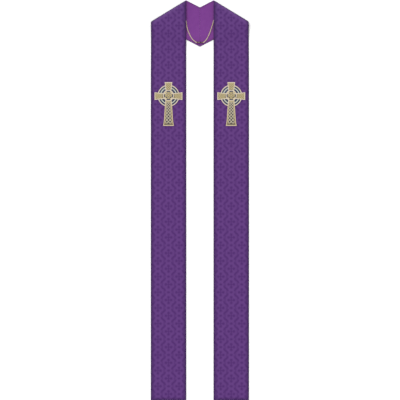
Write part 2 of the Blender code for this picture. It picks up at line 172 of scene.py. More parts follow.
class Signal:
    """A number that changes over a surface; arithmetic on it adds Math nodes to its tree."""

    def __init__(self, tree, socket):
        self.tree = tree
        self.socket = socket

    def math(self, operation, *others):
        node = self.tree.nodes.new("ShaderNodeMath")
        node.operation = operation
        for place, value in zip(node.inputs, (self, *others)):
            feed(self.tree, place, value)
        return Signal(self.tree, node.outputs[0])

    def rest(self):
        """1 less the signal."""
        return self * -1 + 1

    def rise(self, low, high):
        """0 at low, 1 at high, and an S-shaped step between."""
        node = self.tree.nodes.new("ShaderNodeMapRange")
        node.interpolation_type = "SMOOTHSTEP"
        feed(self.tree, node.inputs["Value"], self)
        node.inputs["From Min"].default_value = low
        node.inputs["From Max"].default_value = high
        return Signal(self.tree, node.outputs["Result"])


for method, operation in OPERATIONS.items():
    setattr(Signal, method, partialmethod(Signal.math, operation))


def feed(tree, socket, value):
    """Links a signal or an output to a socket, or sets the socket to a plain number."""
    if isinstance(value, Signal):
        value = value.socket
    if isinstance(value, bpy.types.NodeSocket):
        tree.links.new(value, socket)
    else:
        socket.default_value = value


def hypot(a, b):
    """Distance from the centre: the root of a squared plus b squared."""
    return (a * a + b * b).root()


def new_group(name, inputs, *outputs):
    """A node group with its input and output nodes. An input is a number with a default, or a vector."""
    tree = bpy.data.node_groups.new(name, "ShaderNodeTree")
    for label, default in inputs.items():
        kind = "NodeSocketVector" if default is None else "NodeSocketFloat"
        socket = tree.interface.new_socket(label, in_out="INPUT", socket_type=kind)
        if default is not None:
            socket.default_value = default
    for label in outputs:
        tree.interface.new_socket(label, in_out="OUTPUT", socket_type="NodeSocketFloat")
    return tree, tree.nodes.new("NodeGroupInput"), tree.nodes.new("NodeGroupOutput")


def split_millimetres(tree, vector):
    """The first two parts of a vector in metres, as signals in millimetres."""
    node = tree.nodes.new("ShaderNodeSeparateXYZ")
    tree.links.new(vector, node.inputs[0])
    return Signal(tree, node.outputs["X"]) * 1000, Signal(tree, node.outputs["Y"]) * 1000


def noise(tree, vector, size, detail=2.0):
    """Smooth random signal from 0 to 1, whose lumps are about `size` metres wide."""
    node = tree.nodes.new("ShaderNodeTexNoise")
    node.inputs["Scale"].default_value = 1 / size
    node.inputs["Detail"].default_value = detail
    tree.links.new(vector, node.inputs["Vector"])
    return Signal(tree, node.outputs["Fac"])


print(len(OPERATIONS), "kinds of Math node")

# %% [markdown]
# ## The brocade's figure
#
# Small crosses in a diamond lattice cover the cloth. Columns of crosses stand 35.9 mm apart and step down by
# half a repeat each time. Dividing the place by the cell's half width and half height, and rounding the sum
# and the difference, finds the nearest cross. The figure is then the nearest of a few rounded strokes,
# measured as a distance: below 0 inside, above 0 outside. Round each stroke the weave is shaded: half as deep
# at the stroke's edge, and fading into the ground over a few millimetres.

# %% The brocade's figure
CELL_HALF_WIDTH = 35.9  # millimetres, and so are the other sizes of the figure
CELL_HALF_HEIGHT = 26.65
FIGURE_CENTRE = (60.0, 21.2)  # across and up from the hem, of one cross
FIGURE_THREAD = 0.4  # a woven edge goes in steps of one thread
FIGURE_EDGE = 0.1
SHADED_REACH, SHADED_WEAVES = 5.5, 5  # the shading is woven in steps, each looser than the last
CROSS_BARS = ((1.0, 10.0), (9.5, 0.75))  # half width and half height of each
CROSS_KNOBS = ((0.0, 9.5, 3.5), (9.0, 0.0, 3.5))  # centre and radius
LATTICE_HALF_LENGTH, LATTICE_RADIUS = 7.5, 4.0  # of a bar along the diamond's side
LATTICE_OUT, LATTICE_BEND = 1.5, 0.002  # away from the cross, and by the cube of the way along
CORNER_TOP, CORNER_SIDE = 3.0, 4.0  # radii of the spots on the diamond's corners
TIE_ACROSS, TIE_HALF_HEIGHT, TIE_RADIUS = 21.0, 8.0, 2.5
CROSS_DEPTH, LATTICE_DEPTH, TIE_DEPTH = 1.0, 0.9, 0.45  # how dark each is woven


def from_nearest_cross(across, up):
    """How far across and up or down the nearest cross is, from a place read in steps of one thread."""
    across, up = (round(one / FIGURE_THREAD) * FIGURE_THREAD for one in (across, up))
    x = (across - FIGURE_CENTRE[0]) / CELL_HALF_WIDTH
    y = (up - FIGURE_CENTRE[1]) / CELL_HALF_HEIGHT
    total, difference = (one - round(one) for one in ((x + y) / 2, (x - y) / 2))
    return abs((total + difference) * CELL_HALF_WIDTH), abs((total - difference) * CELL_HALF_HEIGHT)


def figure_strokes(x, y):
    """Each kind of stroke as a distance from its edge, with how dark it is woven."""

    def spot(centre_x, centre_y, radius):
        return hypot(x - centre_x, y - centre_y) - radius

    # The cross: two thin bars whose ends swell into round knobs.
    upright, level = ((x - wide).most(y - high) for wide, high in CROSS_BARS)
    cross = upright.least(level)
    for knob in CROSS_KNOBS:
        cross = cross.least(spot(*knob))
    # The lattice: a bar along each side of the diamond, bent upright at both ends, and a spot on each corner.
    side = math.hypot(CELL_HALF_WIDTH, CELL_HALF_HEIGHT)
    run_x, run_y = CELL_HALF_WIDTH / side, CELL_HALF_HEIGHT / side
    middle_x, middle_y = x - CELL_HALF_WIDTH / 2, y - CELL_HALF_HEIGHT / 2
    along = middle_y * run_y - middle_x * run_x
    outwards = middle_x * run_y + middle_y * run_x - LATTICE_OUT
    bend = along * along * along * LATTICE_BEND
    lattice = hypot((abs(along) - LATTICE_HALF_LENGTH).most(0), outwards - bend) - LATTICE_RADIUS
    corner = spot(0, CELL_HALF_HEIGHT, CORNER_TOP).least(spot(CELL_HALF_WIDTH, 0, CORNER_SIDE))
    # An upright tie joins the bars beside the cross.
    tie = hypot(x - TIE_ACROSS, (y - TIE_HALF_HEIGHT).most(0)) - TIE_RADIUS
    return (cross.least(corner), CROSS_DEPTH), (lattice, LATTICE_DEPTH), (tie, TIE_DEPTH)


def build_brocade_figure():
    """Outputs Figure, up to 1 inside the woven figure, and Shaded, which falls away from its edge."""
    tree, start, end = new_group("brocade figure", {"Cloth": None}, "Figure", "Shaded")
    strokes = figure_strokes(*from_nearest_cross(*split_millimetres(tree, start.outputs["Cloth"])))

    def darkest(outside, inside):
        """The darkest of the strokes, each rising to its own depth between two distances from its edge."""
        first, second, third = (stroke.rise(outside, inside) * depth for stroke, depth in strokes)
        return first.most(second).most(third)

    feed(tree, end.inputs["Figure"], darkest(FIGURE_EDGE, -FIGURE_EDGE))
    feed(tree, end.inputs["Shaded"], round(darkest(SHADED_REACH, 0.0) * SHADED_WEAVES) / SHADED_WEAVES)
    return tree


figure_group = build_brocade_figure()
print(len(figure_group.nodes), "nodes draw the figure")

# %% [markdown]
# ## Threads
#
# Close up, every cloth here is threads. One group draws fine parallel threads along the second cloth
# coordinate, with crossing threads worked in at a share of their height. A second gives slow changes of tone.
# A third gives a mask for painted shade along a band's edges and hem, and measures the way from the fold at
# the shoulder, for a painted highlight beside the brocade's roll and painted shade at the very fold.

# %% Threads
BAND_WIDTH = 0.120
LENGTH = 1.361  # hem to the point where the shoulder fold meets the neck edge
FOLD_SLOPE = math.radians(31.3)
WOBBLE, WOBBLE_SIZE = 0.5, 0.004  # of threads: millimetres, and the size of its lumps in metres
CROSSING_PITCH = 1.6  # of the crossing threads, in pitches
THREAD_TONE_SIZE = 0.0012
BROAD_TONE, FINE_TONE = (0.12, 2.0, 0.65), (0.014, 3.0, 0.35)  # size, detail and share of the slow tone
EDGE_POWER = 1.5  # of the painted shade towards a band's edges and hem


def build_threads():
    """Outputs Height, ridges across the second coordinate, and Tone, which differs from thread to thread."""
    tree, start, end = new_group("threads", {"Cloth": None, "Pitch": 0.45, "Crossing": 0.5}, "Height", "Tone")
    across, up = split_millimetres(tree, start.outputs["Cloth"])
    pitch, crossing = (Signal(tree, start.outputs[label]) for label in ("Pitch", "Crossing"))
    wobble = (noise(tree, start.outputs["Cloth"], WOBBLE_SIZE) - 0.5) * WOBBLE
    ridges = abs(((up + wobble) / pitch * math.pi).sine())
    crosswise = abs(((across + wobble) / (pitch * CROSSING_PITCH) * math.pi).sine())
    feed(tree, end.inputs["Height"], ridges + crosswise * crossing)
    feed(tree, end.inputs["Tone"], noise(tree, start.outputs["Cloth"], THREAD_TONE_SIZE, 3.0))
    return tree


def build_slow_tone():
    """Outputs Tone, from 0 to 1, in patches about as wide as a hand."""
    tree, start, end = new_group("slow tone", {"Place": None}, "Tone")
    tones = (BROAD_TONE, FINE_TONE)
    broad, fine = (noise(tree, start.outputs["Place"], *lumps) * share for *lumps, share in tones)
    feed(tree, end.inputs["Tone"], broad + fine)
    return tree


def build_edge_shade():
    """Outputs Edge, a mask for painted shade, 1 at a band's edges and hem and 0 from Reach inwards, and
    Crease, how far the fold is.
    """
    sockets = {"Cloth": None, "Width": 120.0, "Reach": 14.0}
    tree, start, end = new_group("edge shade", sockets, "Edge", "Crease")
    across, up = split_millimetres(tree, start.outputs["Cloth"])
    half = Signal(tree, start.outputs["Width"]) / 2
    inwards = (half - abs(across - half)).least(up)
    share = (inwards / Signal(tree, start.outputs["Reach"])).most(0).least(1)
    past = across * math.sin(FOLD_SLOPE) + (up - LENGTH * 1000) * math.cos(FOLD_SLOPE)
    feed(tree, end.inputs["Edge"], share.rest() ** EDGE_POWER)
    feed(tree, end.inputs["Crease"], abs(past))
    return tree


GROUPS = {
    "figure": figure_group,
    "threads": build_threads(),
    "slow tone": build_slow_tone(),
    "edge shade": build_edge_shade(),
}
print("node groups:", ", ".join(GROUPS))

# %% [markdown]
# ## Materials
#
# Each finish is one Principled shader. Groups feed its colour, roughness and bump; numbers that are the same
# all over are typed into the shader itself. Colours are given as they should show, and `dye` works back from
# the light on the table to the colour that the cloth needs.

# %% Materials
TABLE_LIGHT = 1.22  # light on the table, as a multiple of white
SHINE = 0.012  # white that a cloth's gloss adds
MIX_SOCKETS = ("Factor_Float", "A_Color", "B_Color")


def srgb(red, green, blue):
    """Linear colour of a display colour whose channels run from 0 to 255."""
    return [((channel / 255 + 0.055) / 1.055) ** 2.4 for channel in (red, green, blue)] + [1.0]


def dye(red, green, blue, shine=SHINE):
    """The dye with which a cloth shows as the display colour: less the shine, then divided by the light."""
    return [(channel - shine) / TABLE_LIGHT for channel in srgb(red, green, blue)[:3]] + [1.0]


class Finish:
    """A material in the making: its tree, its shader, and short ways to place the common nodes."""

    def __init__(self, name):
        self.material = bpy.data.materials.new(name)
        self.material.use_nodes = True
        self.tree = self.material.node_tree
        self.shader = self.tree.nodes["Principled BSDF"]

    def set(self, **values):
        """Feeds the shader's own sockets, such as Base_Color and Roughness."""
        for label, value in values.items():
            feed(self.tree, self.shader.inputs[label.replace("_", " ")], value)

    def cloth(self):
        """The piece's own flat coordinates, in metres."""
        node = self.tree.nodes.new("ShaderNodeUVMap")
        node.uv_map = "cloth"
        return node.outputs["UV"]

    def place(self):
        return self.tree.nodes.new("ShaderNodeTexCoord").outputs["Object"]

    def group(self, name, **values):
        """A group's outputs as signals, by their labels."""
        node = self.tree.nodes.new("ShaderNodeGroup")
        node.node_tree = GROUPS[name]
        for label, value in values.items():
            feed(self.tree, node.inputs[label], value)
        return {output.name: Signal(self.tree, output) for output in node.outputs}

    def blend(self, share, first, second, mode="MIX"):
        """A colour between two, by a signal from 0 to 1, or their product if mode is MULTIPLY."""
        node = self.tree.nodes.new("ShaderNodeMix")
        node.data_type = "RGBA"
        node.blend_type = mode
        # The node has sockets of each name for every data type; these are the colour's.
        sockets = {socket.identifier: socket for socket in node.inputs}
        for name, value in zip(MIX_SOCKETS, (share, first, second)):
            feed(self.tree, sockets[name], value)
        return next(output for output in node.outputs if output.type == "RGBA")

    def bump(self, *layers):
        """Chains Bump nodes; each layer is (height signal, height in metres)."""
        normal = None
        for height, depth in layers:
            node = self.tree.nodes.new("ShaderNodeBump")
            node.inputs["Distance"].default_value = depth
            node.inputs["Strength"].default_value = 1.0
            feed(self.tree, node.inputs["Height"], height)
            if normal:
                self.tree.links.new(normal, node.inputs["Normal"])
            normal = node.outputs["Normal"]
        self.set(Normal=normal)


print(f"white cloth under this light has the dye {dye(255, 255, 255)[0]:.2f}")

# %% Finishes of the cloth
SHADED_DEPTH = 0.5  # of the shading at a stroke's edge, as a share of the figure's own
BROCADE_GROUND = (dye(100, 62, 129), dye(106, 66, 135))  # in its darker and its paler patches
BROCADE_FIGURE = dye(86, 49.5, 115)
BROCADE_THREAD_TONE_AND_SHADE = dye(58, 36, 80)  # painted shade between its threads, and the tone that differs from thread to thread
BROCADE_GLEAM, GLEAM_SHARE = dye(118, 84, 146), 0.38  # painted highlight beside the fold
BROCADE_SHADE, BROCADE_SHADE_SHARE = dye(56, 34, 78), 0.95  # painted shade along the edges, the hem and the very fold
GLEAM_REACH, FOLD_SHADE_REACH = (19.0, 2.0), (4.5, 2.0)  # millimetres from the fold where the painted highlight and the painted shade start and are full
SATIN = (dye(111, 49, 133, 0.03), dye(139, 76, 156, 0.03))
SATIN_FURROW = dye(92, 48, 108, 0.03)
# Painted shade along the lining's edges and hem, and at the fold.
SATIN_SHADE, SATIN_SHADE_SHARE, SATIN_EDGE_SHADE_REACH = dye(92, 34, 104), 0.6, 11.0
SATIN_FOLD_SHADE_REACH = (8.5, 1.5)


def brocade_finish():
    """Deep figure, shaded softly into a paler ground, a painted highlight beside the fold, and painted shade
    along the edges, the hem and the fold.
    """
    finish = Finish("purple brocade")
    cloth = finish.cloth()
    figure = finish.group("figure", Cloth=cloth)
    threads = finish.group("threads", Cloth=cloth, Pitch=0.42, Crossing=0.7)
    edge_shade = finish.group("edge shade", Cloth=cloth)
    slow = finish.group("slow tone", Place=finish.place())["Tone"]
    inside, crease = figure["Figure"], edge_shade["Crease"]
    depth = inside + inside.rest() * figure["Shaded"] * SHADED_DEPTH
    colour = finish.blend(depth, finish.blend(slow, *BROCADE_GROUND), BROCADE_FIGURE)
    tone = threads["Tone"].rise(0.3, 0.7) * 0.08
    # Painted shade in the furrows, where the threads are low.
    furrow_shade = (threads["Height"] * -1 + 1.4).most(0) * 0.10
    colour = finish.blend(tone + furrow_shade, colour, BROCADE_THREAD_TONE_AND_SHADE)
    # A painted highlight beside the fold, where the roll would catch the light.
    colour = finish.blend(crease.rise(*GLEAM_REACH) * GLEAM_SHARE, colour, BROCADE_GLEAM)
    # Painted shade along the edges and the hem, and at the very fold.
    painted_shade = (edge_shade["Edge"] * BROCADE_SHADE_SHARE).most(crease.rise(*FOLD_SHADE_REACH) * BROCADE_SHADE_SHARE)
    finish.set(Base_Color=finish.blend(painted_shade, colour, BROCADE_SHADE), Roughness=inside * 0.12 + 0.60)
    finish.bump((inside, -0.00010), (threads["Height"], 0.00003))
    finish.set(Specular_IOR_Level=0.2, Sheen_Weight=0.04, Sheen_Roughness=0.45)
    return finish.material


def satin_finish():
    """Plain lining satin: smooth, with faint threads and slow changes of tone."""
    finish = Finish("purple satin")
    cloth = finish.cloth()
    threads = finish.group("threads", Cloth=cloth, Pitch=0.30, Crossing=0.15)
    edge_shade = finish.group("edge shade", Cloth=cloth, Reach=SATIN_EDGE_SHADE_REACH)
    slow = finish.group("slow tone", Place=finish.place())["Tone"]
    tone = threads["Tone"].rise(0.3, 0.7) * 0.06
    colour = finish.blend(tone, finish.blend(slow, *SATIN), SATIN_FURROW)
    # Painted shade along the edges and at the fold.
    edge = edge_shade["Edge"].most(edge_shade["Crease"].rise(*SATIN_FOLD_SHADE_REACH))
    colour = finish.blend(edge * SATIN_SHADE_SHARE, colour, SATIN_SHADE)
    finish.set(Base_Color=colour, Roughness=slow * 0.08 + 0.40)
    finish.bump((threads["Height"], 0.000015))
    finish.set(Specular_IOR_Level=0.35, Sheen_Weight=0.08, Sheen_Roughness=0.4)
    return finish.material


def thread_finish(name, roughness, pitch, depth):
    """Lustrous thread whose colour is the mesh's own `thread` attribute, shaded from thread to thread."""
    finish = Finish(name)
    threads = finish.group("threads", Cloth=finish.cloth(), Pitch=pitch, Crossing=0.0)
    node = finish.tree.nodes.new("ShaderNodeAttribute")
    node.attribute_name = "thread"
    shade = threads["Tone"].rise(0.25, 0.75) * 0.35 + 0.05
    colour = finish.blend(shade, node.outputs["Color"], (0.45, 0.38, 0.34, 1.0), "MULTIPLY")
    finish.set(Base_Color=colour, Roughness=roughness)
    finish.set(Specular_IOR_Level=0.5, Sheen_Weight=0.1, Sheen_Roughness=0.3)
    finish.bump((threads["Height"], depth))
    return finish.material


FINISHES = {
    "brocade": brocade_finish(),
    "lining_satin": satin_finish(),
    "embroidery": thread_finish("embroidery thread", 0.42, 0.42, 0.00006),
    "neck_cord": thread_finish("gold cord yarn", 0.45, 0.30, 0.00005),
    "stitches": thread_finish("sewing thread", 0.5, 0.12, 0.00001),
}
print("cloth:", ", ".join(FINISHES))


# %% Finishes of the brass and the table
def brass_finish(name, hollow, polished):
    """Antiqued brass: polished on its high spots, brown in its hollows."""
    finish = Finish(name)
    place = finish.place()
    patches = noise(finish.tree, place, 0.0016, 4.0).rise(0.40, 0.62)
    colour = finish.blend(patches, hollow, polished)
    finish.set(Base_Color=colour, Roughness=patches * -0.16 + 0.42, Metallic=1.0)
    finish.bump((noise(finish.tree, place, 0.0007, 3.0), 0.00004))
    return finish.material


def table_finish():
    """Matt white, with the faintest grain, so that it is a surface and not a void."""
    finish = Finish("white table")
    grain = noise(finish.tree, finish.place(), 0.02, 4.0)
    colour = finish.blend(grain, srgb(248, 248, 248), srgb(252, 252, 252))
    finish.set(Base_Color=colour, Roughness=grain * 0.05 + 0.85, Specular_IOR_Level=0.1)
    return finish.material


FINISHES["antique_brass"] = brass_finish("antique brass", srgb(84, 68, 60), srgb(140, 118, 98))
# The hook's dark brass is partly painted shadow, and the ring's near-white brass is a painted glint.
FINISHES["shadowed_brass"] = brass_finish("shadowed brass", srgb(50, 42, 40), srgb(104, 86, 74))
FINISHES["glint_brass"] = brass_finish("glint brass", srgb(196, 182, 170), srgb(242, 234, 226))
FINISHES["table"] = table_finish()
print(len(FINISHES), "finishes")

# %% [markdown]
# ## From grids to meshes
#
# Every new shape below is a grid of points: rows along the piece, and columns round or across it. `faces`
# turns a grid into faces with plain index arithmetic, and `build` joins any number of grids into one object
# with its flat coordinates and thread colours. A grid that is inside out is found by its signed volume, the
# sum of a . (b x c) over its triangles, and turned. The bands and their emblems are worked out for the right
# side alone, and the left ones are built from the same grids with x times -1.

# %% From grids to meshes
TABLE_SIZE = 8.0
TABLE_DROP = 0.0003  # below the cloth's underside
SIDES = {"left": -1, "right": 1}

# Round rows close on themselves, and get flat ends unless the grid is closed too. cloth holds the flat
# coordinates, with a column more than points where rows are round, and a row more where the grid is closed.
Grid = namedtuple("Grid", "points cloth colour round_rows closed", defaults=((1, 1, 1), True, False))


def wrapped(values):
    """A grid of values with its first column again after its last."""
    return np.concatenate([values, values[:, :1]], axis=1)


def first_of_each(sizes):
    """Where each run starts, when runs of these sizes follow one another."""
    return np.concatenate([[0], np.cumsum(sizes)[:-1]])


def faces(grid, side):
    """A grid's vertices, its faces' corners and sizes, their flat coordinates, and the vertices' colours."""
    rows, columns = grid.points.shape[:2]
    ids = np.arange(rows * columns).reshape(rows, columns)
    if grid.round_rows:
        ids = wrapped(ids)
    if grid.closed:
        ids = np.concatenate([ids, ids[:1]])

    def corners(values):
        return np.stack([values[:-1, :-1], values[:-1, 1:], values[1:, 1:], values[1:, :-1]], axis=2)

    loops, flat = corners(ids).reshape(-1), corners(grid.cloth).reshape(-1, 2)
    sizes = np.full(len(loops) // 4, 4)
    if grid.round_rows and not grid.closed:
        loops = np.concatenate([loops, ids[0, :columns][::-1], ids[-1, :columns]])
        sizes = np.concatenate([sizes, [columns, columns]])
        flat = np.concatenate([flat, grid.cloth[0, :columns][::-1], grid.cloth[-1, :columns]])
    vertices = (grid.points * (side, 1, 1)).reshape(-1, 3)
    starts = first_of_each(sizes)
    following = np.arange(len(loops)) + 1
    following[starts + sizes - 1] = starts
    fans = (np.repeat(loops[starts], sizes), loops, loops[following])
    first, second, third = (vertices[corner] for corner in fans)
    if np.einsum("ij,ij->i", first, np.cross(second, third)).sum() < 0:
        turn = np.repeat(starts + sizes - 1, sizes) - (np.arange(len(loops)) - np.repeat(starts, sizes))
        loops, flat = loops[turn], flat[turn]
    shades = np.ones((rows, columns, 4))
    shades[..., :3] = grid.colour
    return vertices, loops, sizes, flat, shades.reshape(-1, 4)


def build(name, grids, finish, side=1, sharp=50):
    """One object from grids, at the origin, with `cloth` coordinates and `thread` colours."""
    made = [faces(grid, side) for grid in grids]
    offsets = first_of_each([len(vertices) for vertices, *_ in made])
    made = [(vertices, loops + offset, *rest) for (vertices, loops, *rest), offset in zip(made, offsets)]
    vertices, loops, sizes, flat, shades = (np.concatenate(parts) for parts in zip(*made))
    mesh = bpy.data.meshes.new(name)
    mesh.vertices.add(len(vertices))
    mesh.vertices.foreach_set("co", vertices.astype(np.float32).ravel())
    mesh.loops.add(len(loops))
    mesh.loops.foreach_set("vertex_index", loops.astype(np.int32))
    mesh.polygons.add(len(sizes))
    mesh.polygons.foreach_set("loop_start", first_of_each(sizes).astype(np.int32))
    mesh.update(calc_edges=True)
    mesh.uv_layers.new(name="cloth").data.foreach_set("uv", flat.astype(np.float32).ravel())
    thread = mesh.attributes.new("thread", "FLOAT_COLOR", "POINT")
    thread.data.foreach_set("color", shades.astype(np.float32).ravel())
    mesh.validate()
    mesh.shade_smooth()
    mesh.set_sharp_from_angle(angle=math.radians(sharp))
    mesh.materials.append(FINISHES[finish])
    piece = bpy.data.objects.new(name, mesh)
    scene.collection.objects.link(piece)
    print(f"{name}: {int((sizes - 2).sum())} triangles")
    return piece


def dress(piece, slot, *nodes):
    """Parents a piece to the stole's root empty, and hides the nodes of model.glb that it stands for; slot is
    not used.
    """
    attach(piece, "root")
    if nodes:
        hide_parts(*nodes)
    return piece


def dress_both(kind, grids, slot, node=None, finish=None):
    """Builds and dresses the left and the right piece of a kind, in the slot's finish or in another."""
    pieces = {}
    for label, side in SIDES.items():
        pieces[label] = build(f"{kind}_{label}", grids, finish or slot, side)
        dress(pieces[label], slot, *([f"{node}_{label}"] if node else []))
    return pieces


reach = np.array([-TABLE_SIZE / 2, TABLE_SIZE / 2])
table_points = np.stack(np.meshgrid(reach, reach, [-TABLE_DROP]), axis=-1)[:, :, 0]
table = build("table", [Grid(table_points, table_points[:, :, :2], round_rows=False)], "table")

# %% [markdown]
# ## How a band lies
#
# A band is a strip 120 mm wide. Its front runs up the surface and climbs over the back band, which lies under
# it. Then it rolls over a line that slopes 31.3 degrees, and runs back towards the centre, face down. Nothing
# stretches: a point keeps its distance along the fold line, and its distance past the line is wound round the
# roll. So the whole laid shape is one function of the place on the flat cloth.

# %% How a band lies
HEM_Y = -0.680
APEX_Y = HEM_Y + LENGTH
HALF_GAP = 0.0467
BACK_TAPER = 0.001  # of both edges together, at the centre back seam
NECK_DRAW = 0.0006  # of the neck edge, there
SEAM_GAP = 0.0003
FACE = 0.00135  # cloth's middle to its face, and to its back
BACKING = 0.00115
LAYER_GAP = 0.0005
ROLL_RADIUS = 0.0035
ROLL_DRAW, ROLL_EDGE_DRAW = 0.0014, 0.0006  # of the band's edges, halfway round the roll and at its ends
ROLL_TAPER = 0.0006
RISE_START = 1.100
SETTLE_START, SETTLE_RUN = 0.003, 0.040
PUFF_RUN, PUFF_HOLD, PUFF_HOLD_OUTER = 0.055, 0.070, 0.010
LIFT_OVER_BACK = FACE + BACKING + LAYER_GAP
LIFT_AT_ROLL = FACE + 2 * ROLL_RADIUS - BACKING - LIFT_OVER_BACK
ROLL_START = -(ROLL_RADIUS + FACE)
ROLL_END = ROLL_START + math.pi * ROLL_RADIUS
BACK_SHIFT = ROLL_START + ROLL_END
SIN, COS = math.sin(FOLD_SLOPE), math.cos(FOLD_SLOPE)
SIN2, COS2 = math.sin(2 * FOLD_SLOPE), math.cos(2 * FOLD_SLOPE)
NUDGE = 0.0005  # to either side, for a slope


def smooth_fall(distance):
    """1 up to 0, then 1 - 3t^2 + 2t^3 down to 0 at 1."""
    t = np.clip(distance, 0, 1)
    return 1 - t * t * (3 - 2 * t)


def unit(vectors):
    """Each vector divided by its own length."""
    return vectors / np.linalg.norm(vectors, axis=-1, keepdims=True)


def front_level(x, y):
    """Height of the front's middle: a rise over the back band, and a further one towards the roll."""
    right, down = x - HALF_GAP, y - APEX_Y
    past = right * SIN + down * COS
    beyond_back = (right - BACK_SHIFT * SIN) * COS2 - (down - BACK_SHIFT * COS) * SIN2 - BAND_WIDTH
    hold = PUFF_HOLD + (PUFF_HOLD_OUTER - PUFF_HOLD) * np.clip(right / BAND_WIDTH, 0, 1)
    over_back = smooth_fall((beyond_back - SETTLE_START) / SETTLE_RUN)
    return BACKING + LIFT_OVER_BACK * over_back + LIFT_AT_ROLL * smooth_fall((-past - hold) / PUFF_RUN)


def lay(across, station):
    """Points and normals of the right band's middle, `across` from its neck edge, `station` from its hem."""
    past = across * SIN + (station - LENGTH) * COS
    along = across * COS - (station - LENGTH) * SIN
    turn = np.clip((past - ROLL_START) / ROLL_RADIUS, 0, math.pi)
    out = np.where(past < ROLL_START, past, ROLL_START + ROLL_RADIUS * np.sin(turn))
    out = np.where(past > ROLL_END, ROLL_START + ROLL_END - past, out)
    x = HALF_GAP + along * COS + out * SIN
    y = APEX_Y - along * SIN + out * COS
    on_front = past < ROLL_START
    z = np.where(on_front, front_level(x, y), FACE + ROLL_RADIUS * (1 + np.cos(turn)))
    slope_x = (front_level(x + NUDGE, y) - front_level(x - NUDGE, y)) / (2 * NUDGE)
    slope_y = (front_level(x, y + NUDGE) - front_level(x, y - NUDGE)) / (2 * NUDGE)
    flat_normal = (-slope_x, -slope_y, 1.0)
    roll_normal = (np.sin(turn) * SIN, np.sin(turn) * COS, np.cos(turn))
    normals = [np.where(on_front, *either) for either in zip(flat_normal, roll_normal)]
    return np.stack([x, y, z], axis=-1), unit(np.stack(normals, axis=-1))


def fold_stations(past):
    """Where, from the hem, a line `past` the fold crosses the neck edge and the outer edge."""
    return [LENGTH + (past - across * SIN) / COS for across in (0, BAND_WIDTH)]


def seam_station(across):
    """Where, from the hem, the centre back seam crosses the band."""
    return LENGTH + (HALF_GAP + across * COS2 + BACK_SHIFT * SIN - SEAM_GAP / 2) / SIN2


# Each section: station on the neck edge and on the outer edge, how far both edges draw in, and the taper.
SECTIONS = np.array(
    [
        (0.0, 0.0, 0.0, 0.0),
        (RISE_START, RISE_START, 0.0, 0.0),
        (*fold_stations(ROLL_START), ROLL_EDGE_DRAW, 0.0),
        (*fold_stations((ROLL_START + ROLL_END) / 2), ROLL_DRAW, 0.0),
        (*fold_stations(ROLL_END), ROLL_EDGE_DRAW, ROLL_TAPER),
        (seam_station(0), seam_station(BAND_WIDTH), NECK_DRAW, BACK_TAPER - NECK_DRAW),
    ]
)
SECTION_STEPS = (440, 96, 8, 8, 44)
print(f"a band is {SECTIONS[-1, :2].mean() * 1000:.0f} mm long on its middle")


def band_rows(first_stations):
    """Every row's section, stepped evenly between the sections, after a few close rows at the hem."""
    level = 0 * first_stations
    rows = [np.column_stack([first_stations, first_stations, level, level])]
    for before, after, steps in zip([rows[0][-1], *SECTIONS[1:]], SECTIONS[1:], SECTION_STEPS):
        rows.append(before + (after - before) * (np.arange(1, steps + 1)[:, None] / steps))
    return np.vstack(rows)


def band_places(rows, across):
    """Where a section's columns are on the flat band: across from the neck edge, and up from the hem."""
    near, taper = rows[:, 2:3], rows[:, 3:]
    place = near + (BAND_WIDTH - 2 * near - taper) * across / BAND_WIDTH
    return place, rows[:, :1] + (rows[:, 1:2] - rows[:, :1]) * place / BAND_WIDTH


# %% [markdown]
# ## The brocade
#
# A stole is bagged out: the brocade and the lining are sewn together face to face, turned, and pressed, so
# both reach the edge and the seam runs along it. The brocade is turned over its interlining, and stands out a
# little. Its wall is flat on its seam side and crowned on its face, which falls away softly over the last few
# millimetres. Small swells along the band, products of slow sines, keep the light on it from being dead even.

# %% The brocade
EDGE_ROUND = 0.0009
EDGE_FALL = 0.00035
EDGE_FALL_REACH = 0.005
TURNED_EDGE = 0.0002  # by which the brocade stands out, and twice as much at the hem
FACE_COLUMNS = 48
SEAM_COLUMNS = 10
EDGE_STEPS = 8
HEM_STEPS = 6
SWELL = 0.00010


def wall_section(inset, seam_offset, shown_offset, face_columns, fall):
    """Columns round a wall: across, offset and whether shown. Its edges are half ellipses, and its face is
    drawn towards the seam side by fall times exp(-inwards / reach)."""
    angle = np.radians(np.linspace(-90, 90, EDGE_STEPS + 1))
    start = inset + EDGE_ROUND
    face_across = np.linspace(start, BAND_WIDTH - start, face_columns)[1:-1]
    seam_across = np.linspace(BAND_WIDTH - start, start, SEAM_COLUMNS + 2)[1:-1]
    arc_across = inset + EDGE_ROUND * (1 - np.cos(angle))

    def crowned(across):
        inwards = np.minimum(across, BAND_WIDTH - across) - inset
        drawn = fall * np.exp(-inwards / EDGE_FALL_REACH)
        return shown_offset + np.sign(seam_offset - shown_offset) * drawn

    rim = crowned(np.array(start))
    arc_offset = (seam_offset + rim) / 2 + (rim - seam_offset) / 2 * np.sin(angle)
    across = np.concatenate([arc_across, face_across, BAND_WIDTH - arc_across[::-1], seam_across])
    seam_side = np.full(SEAM_COLUMNS, seam_offset)
    offset = np.concatenate([arc_offset, crowned(face_across), arc_offset[::-1], seam_side])
    shown = np.abs(offset - seam_offset) > np.abs(shown_offset - seam_offset) * 0.5
    return across, offset, shown


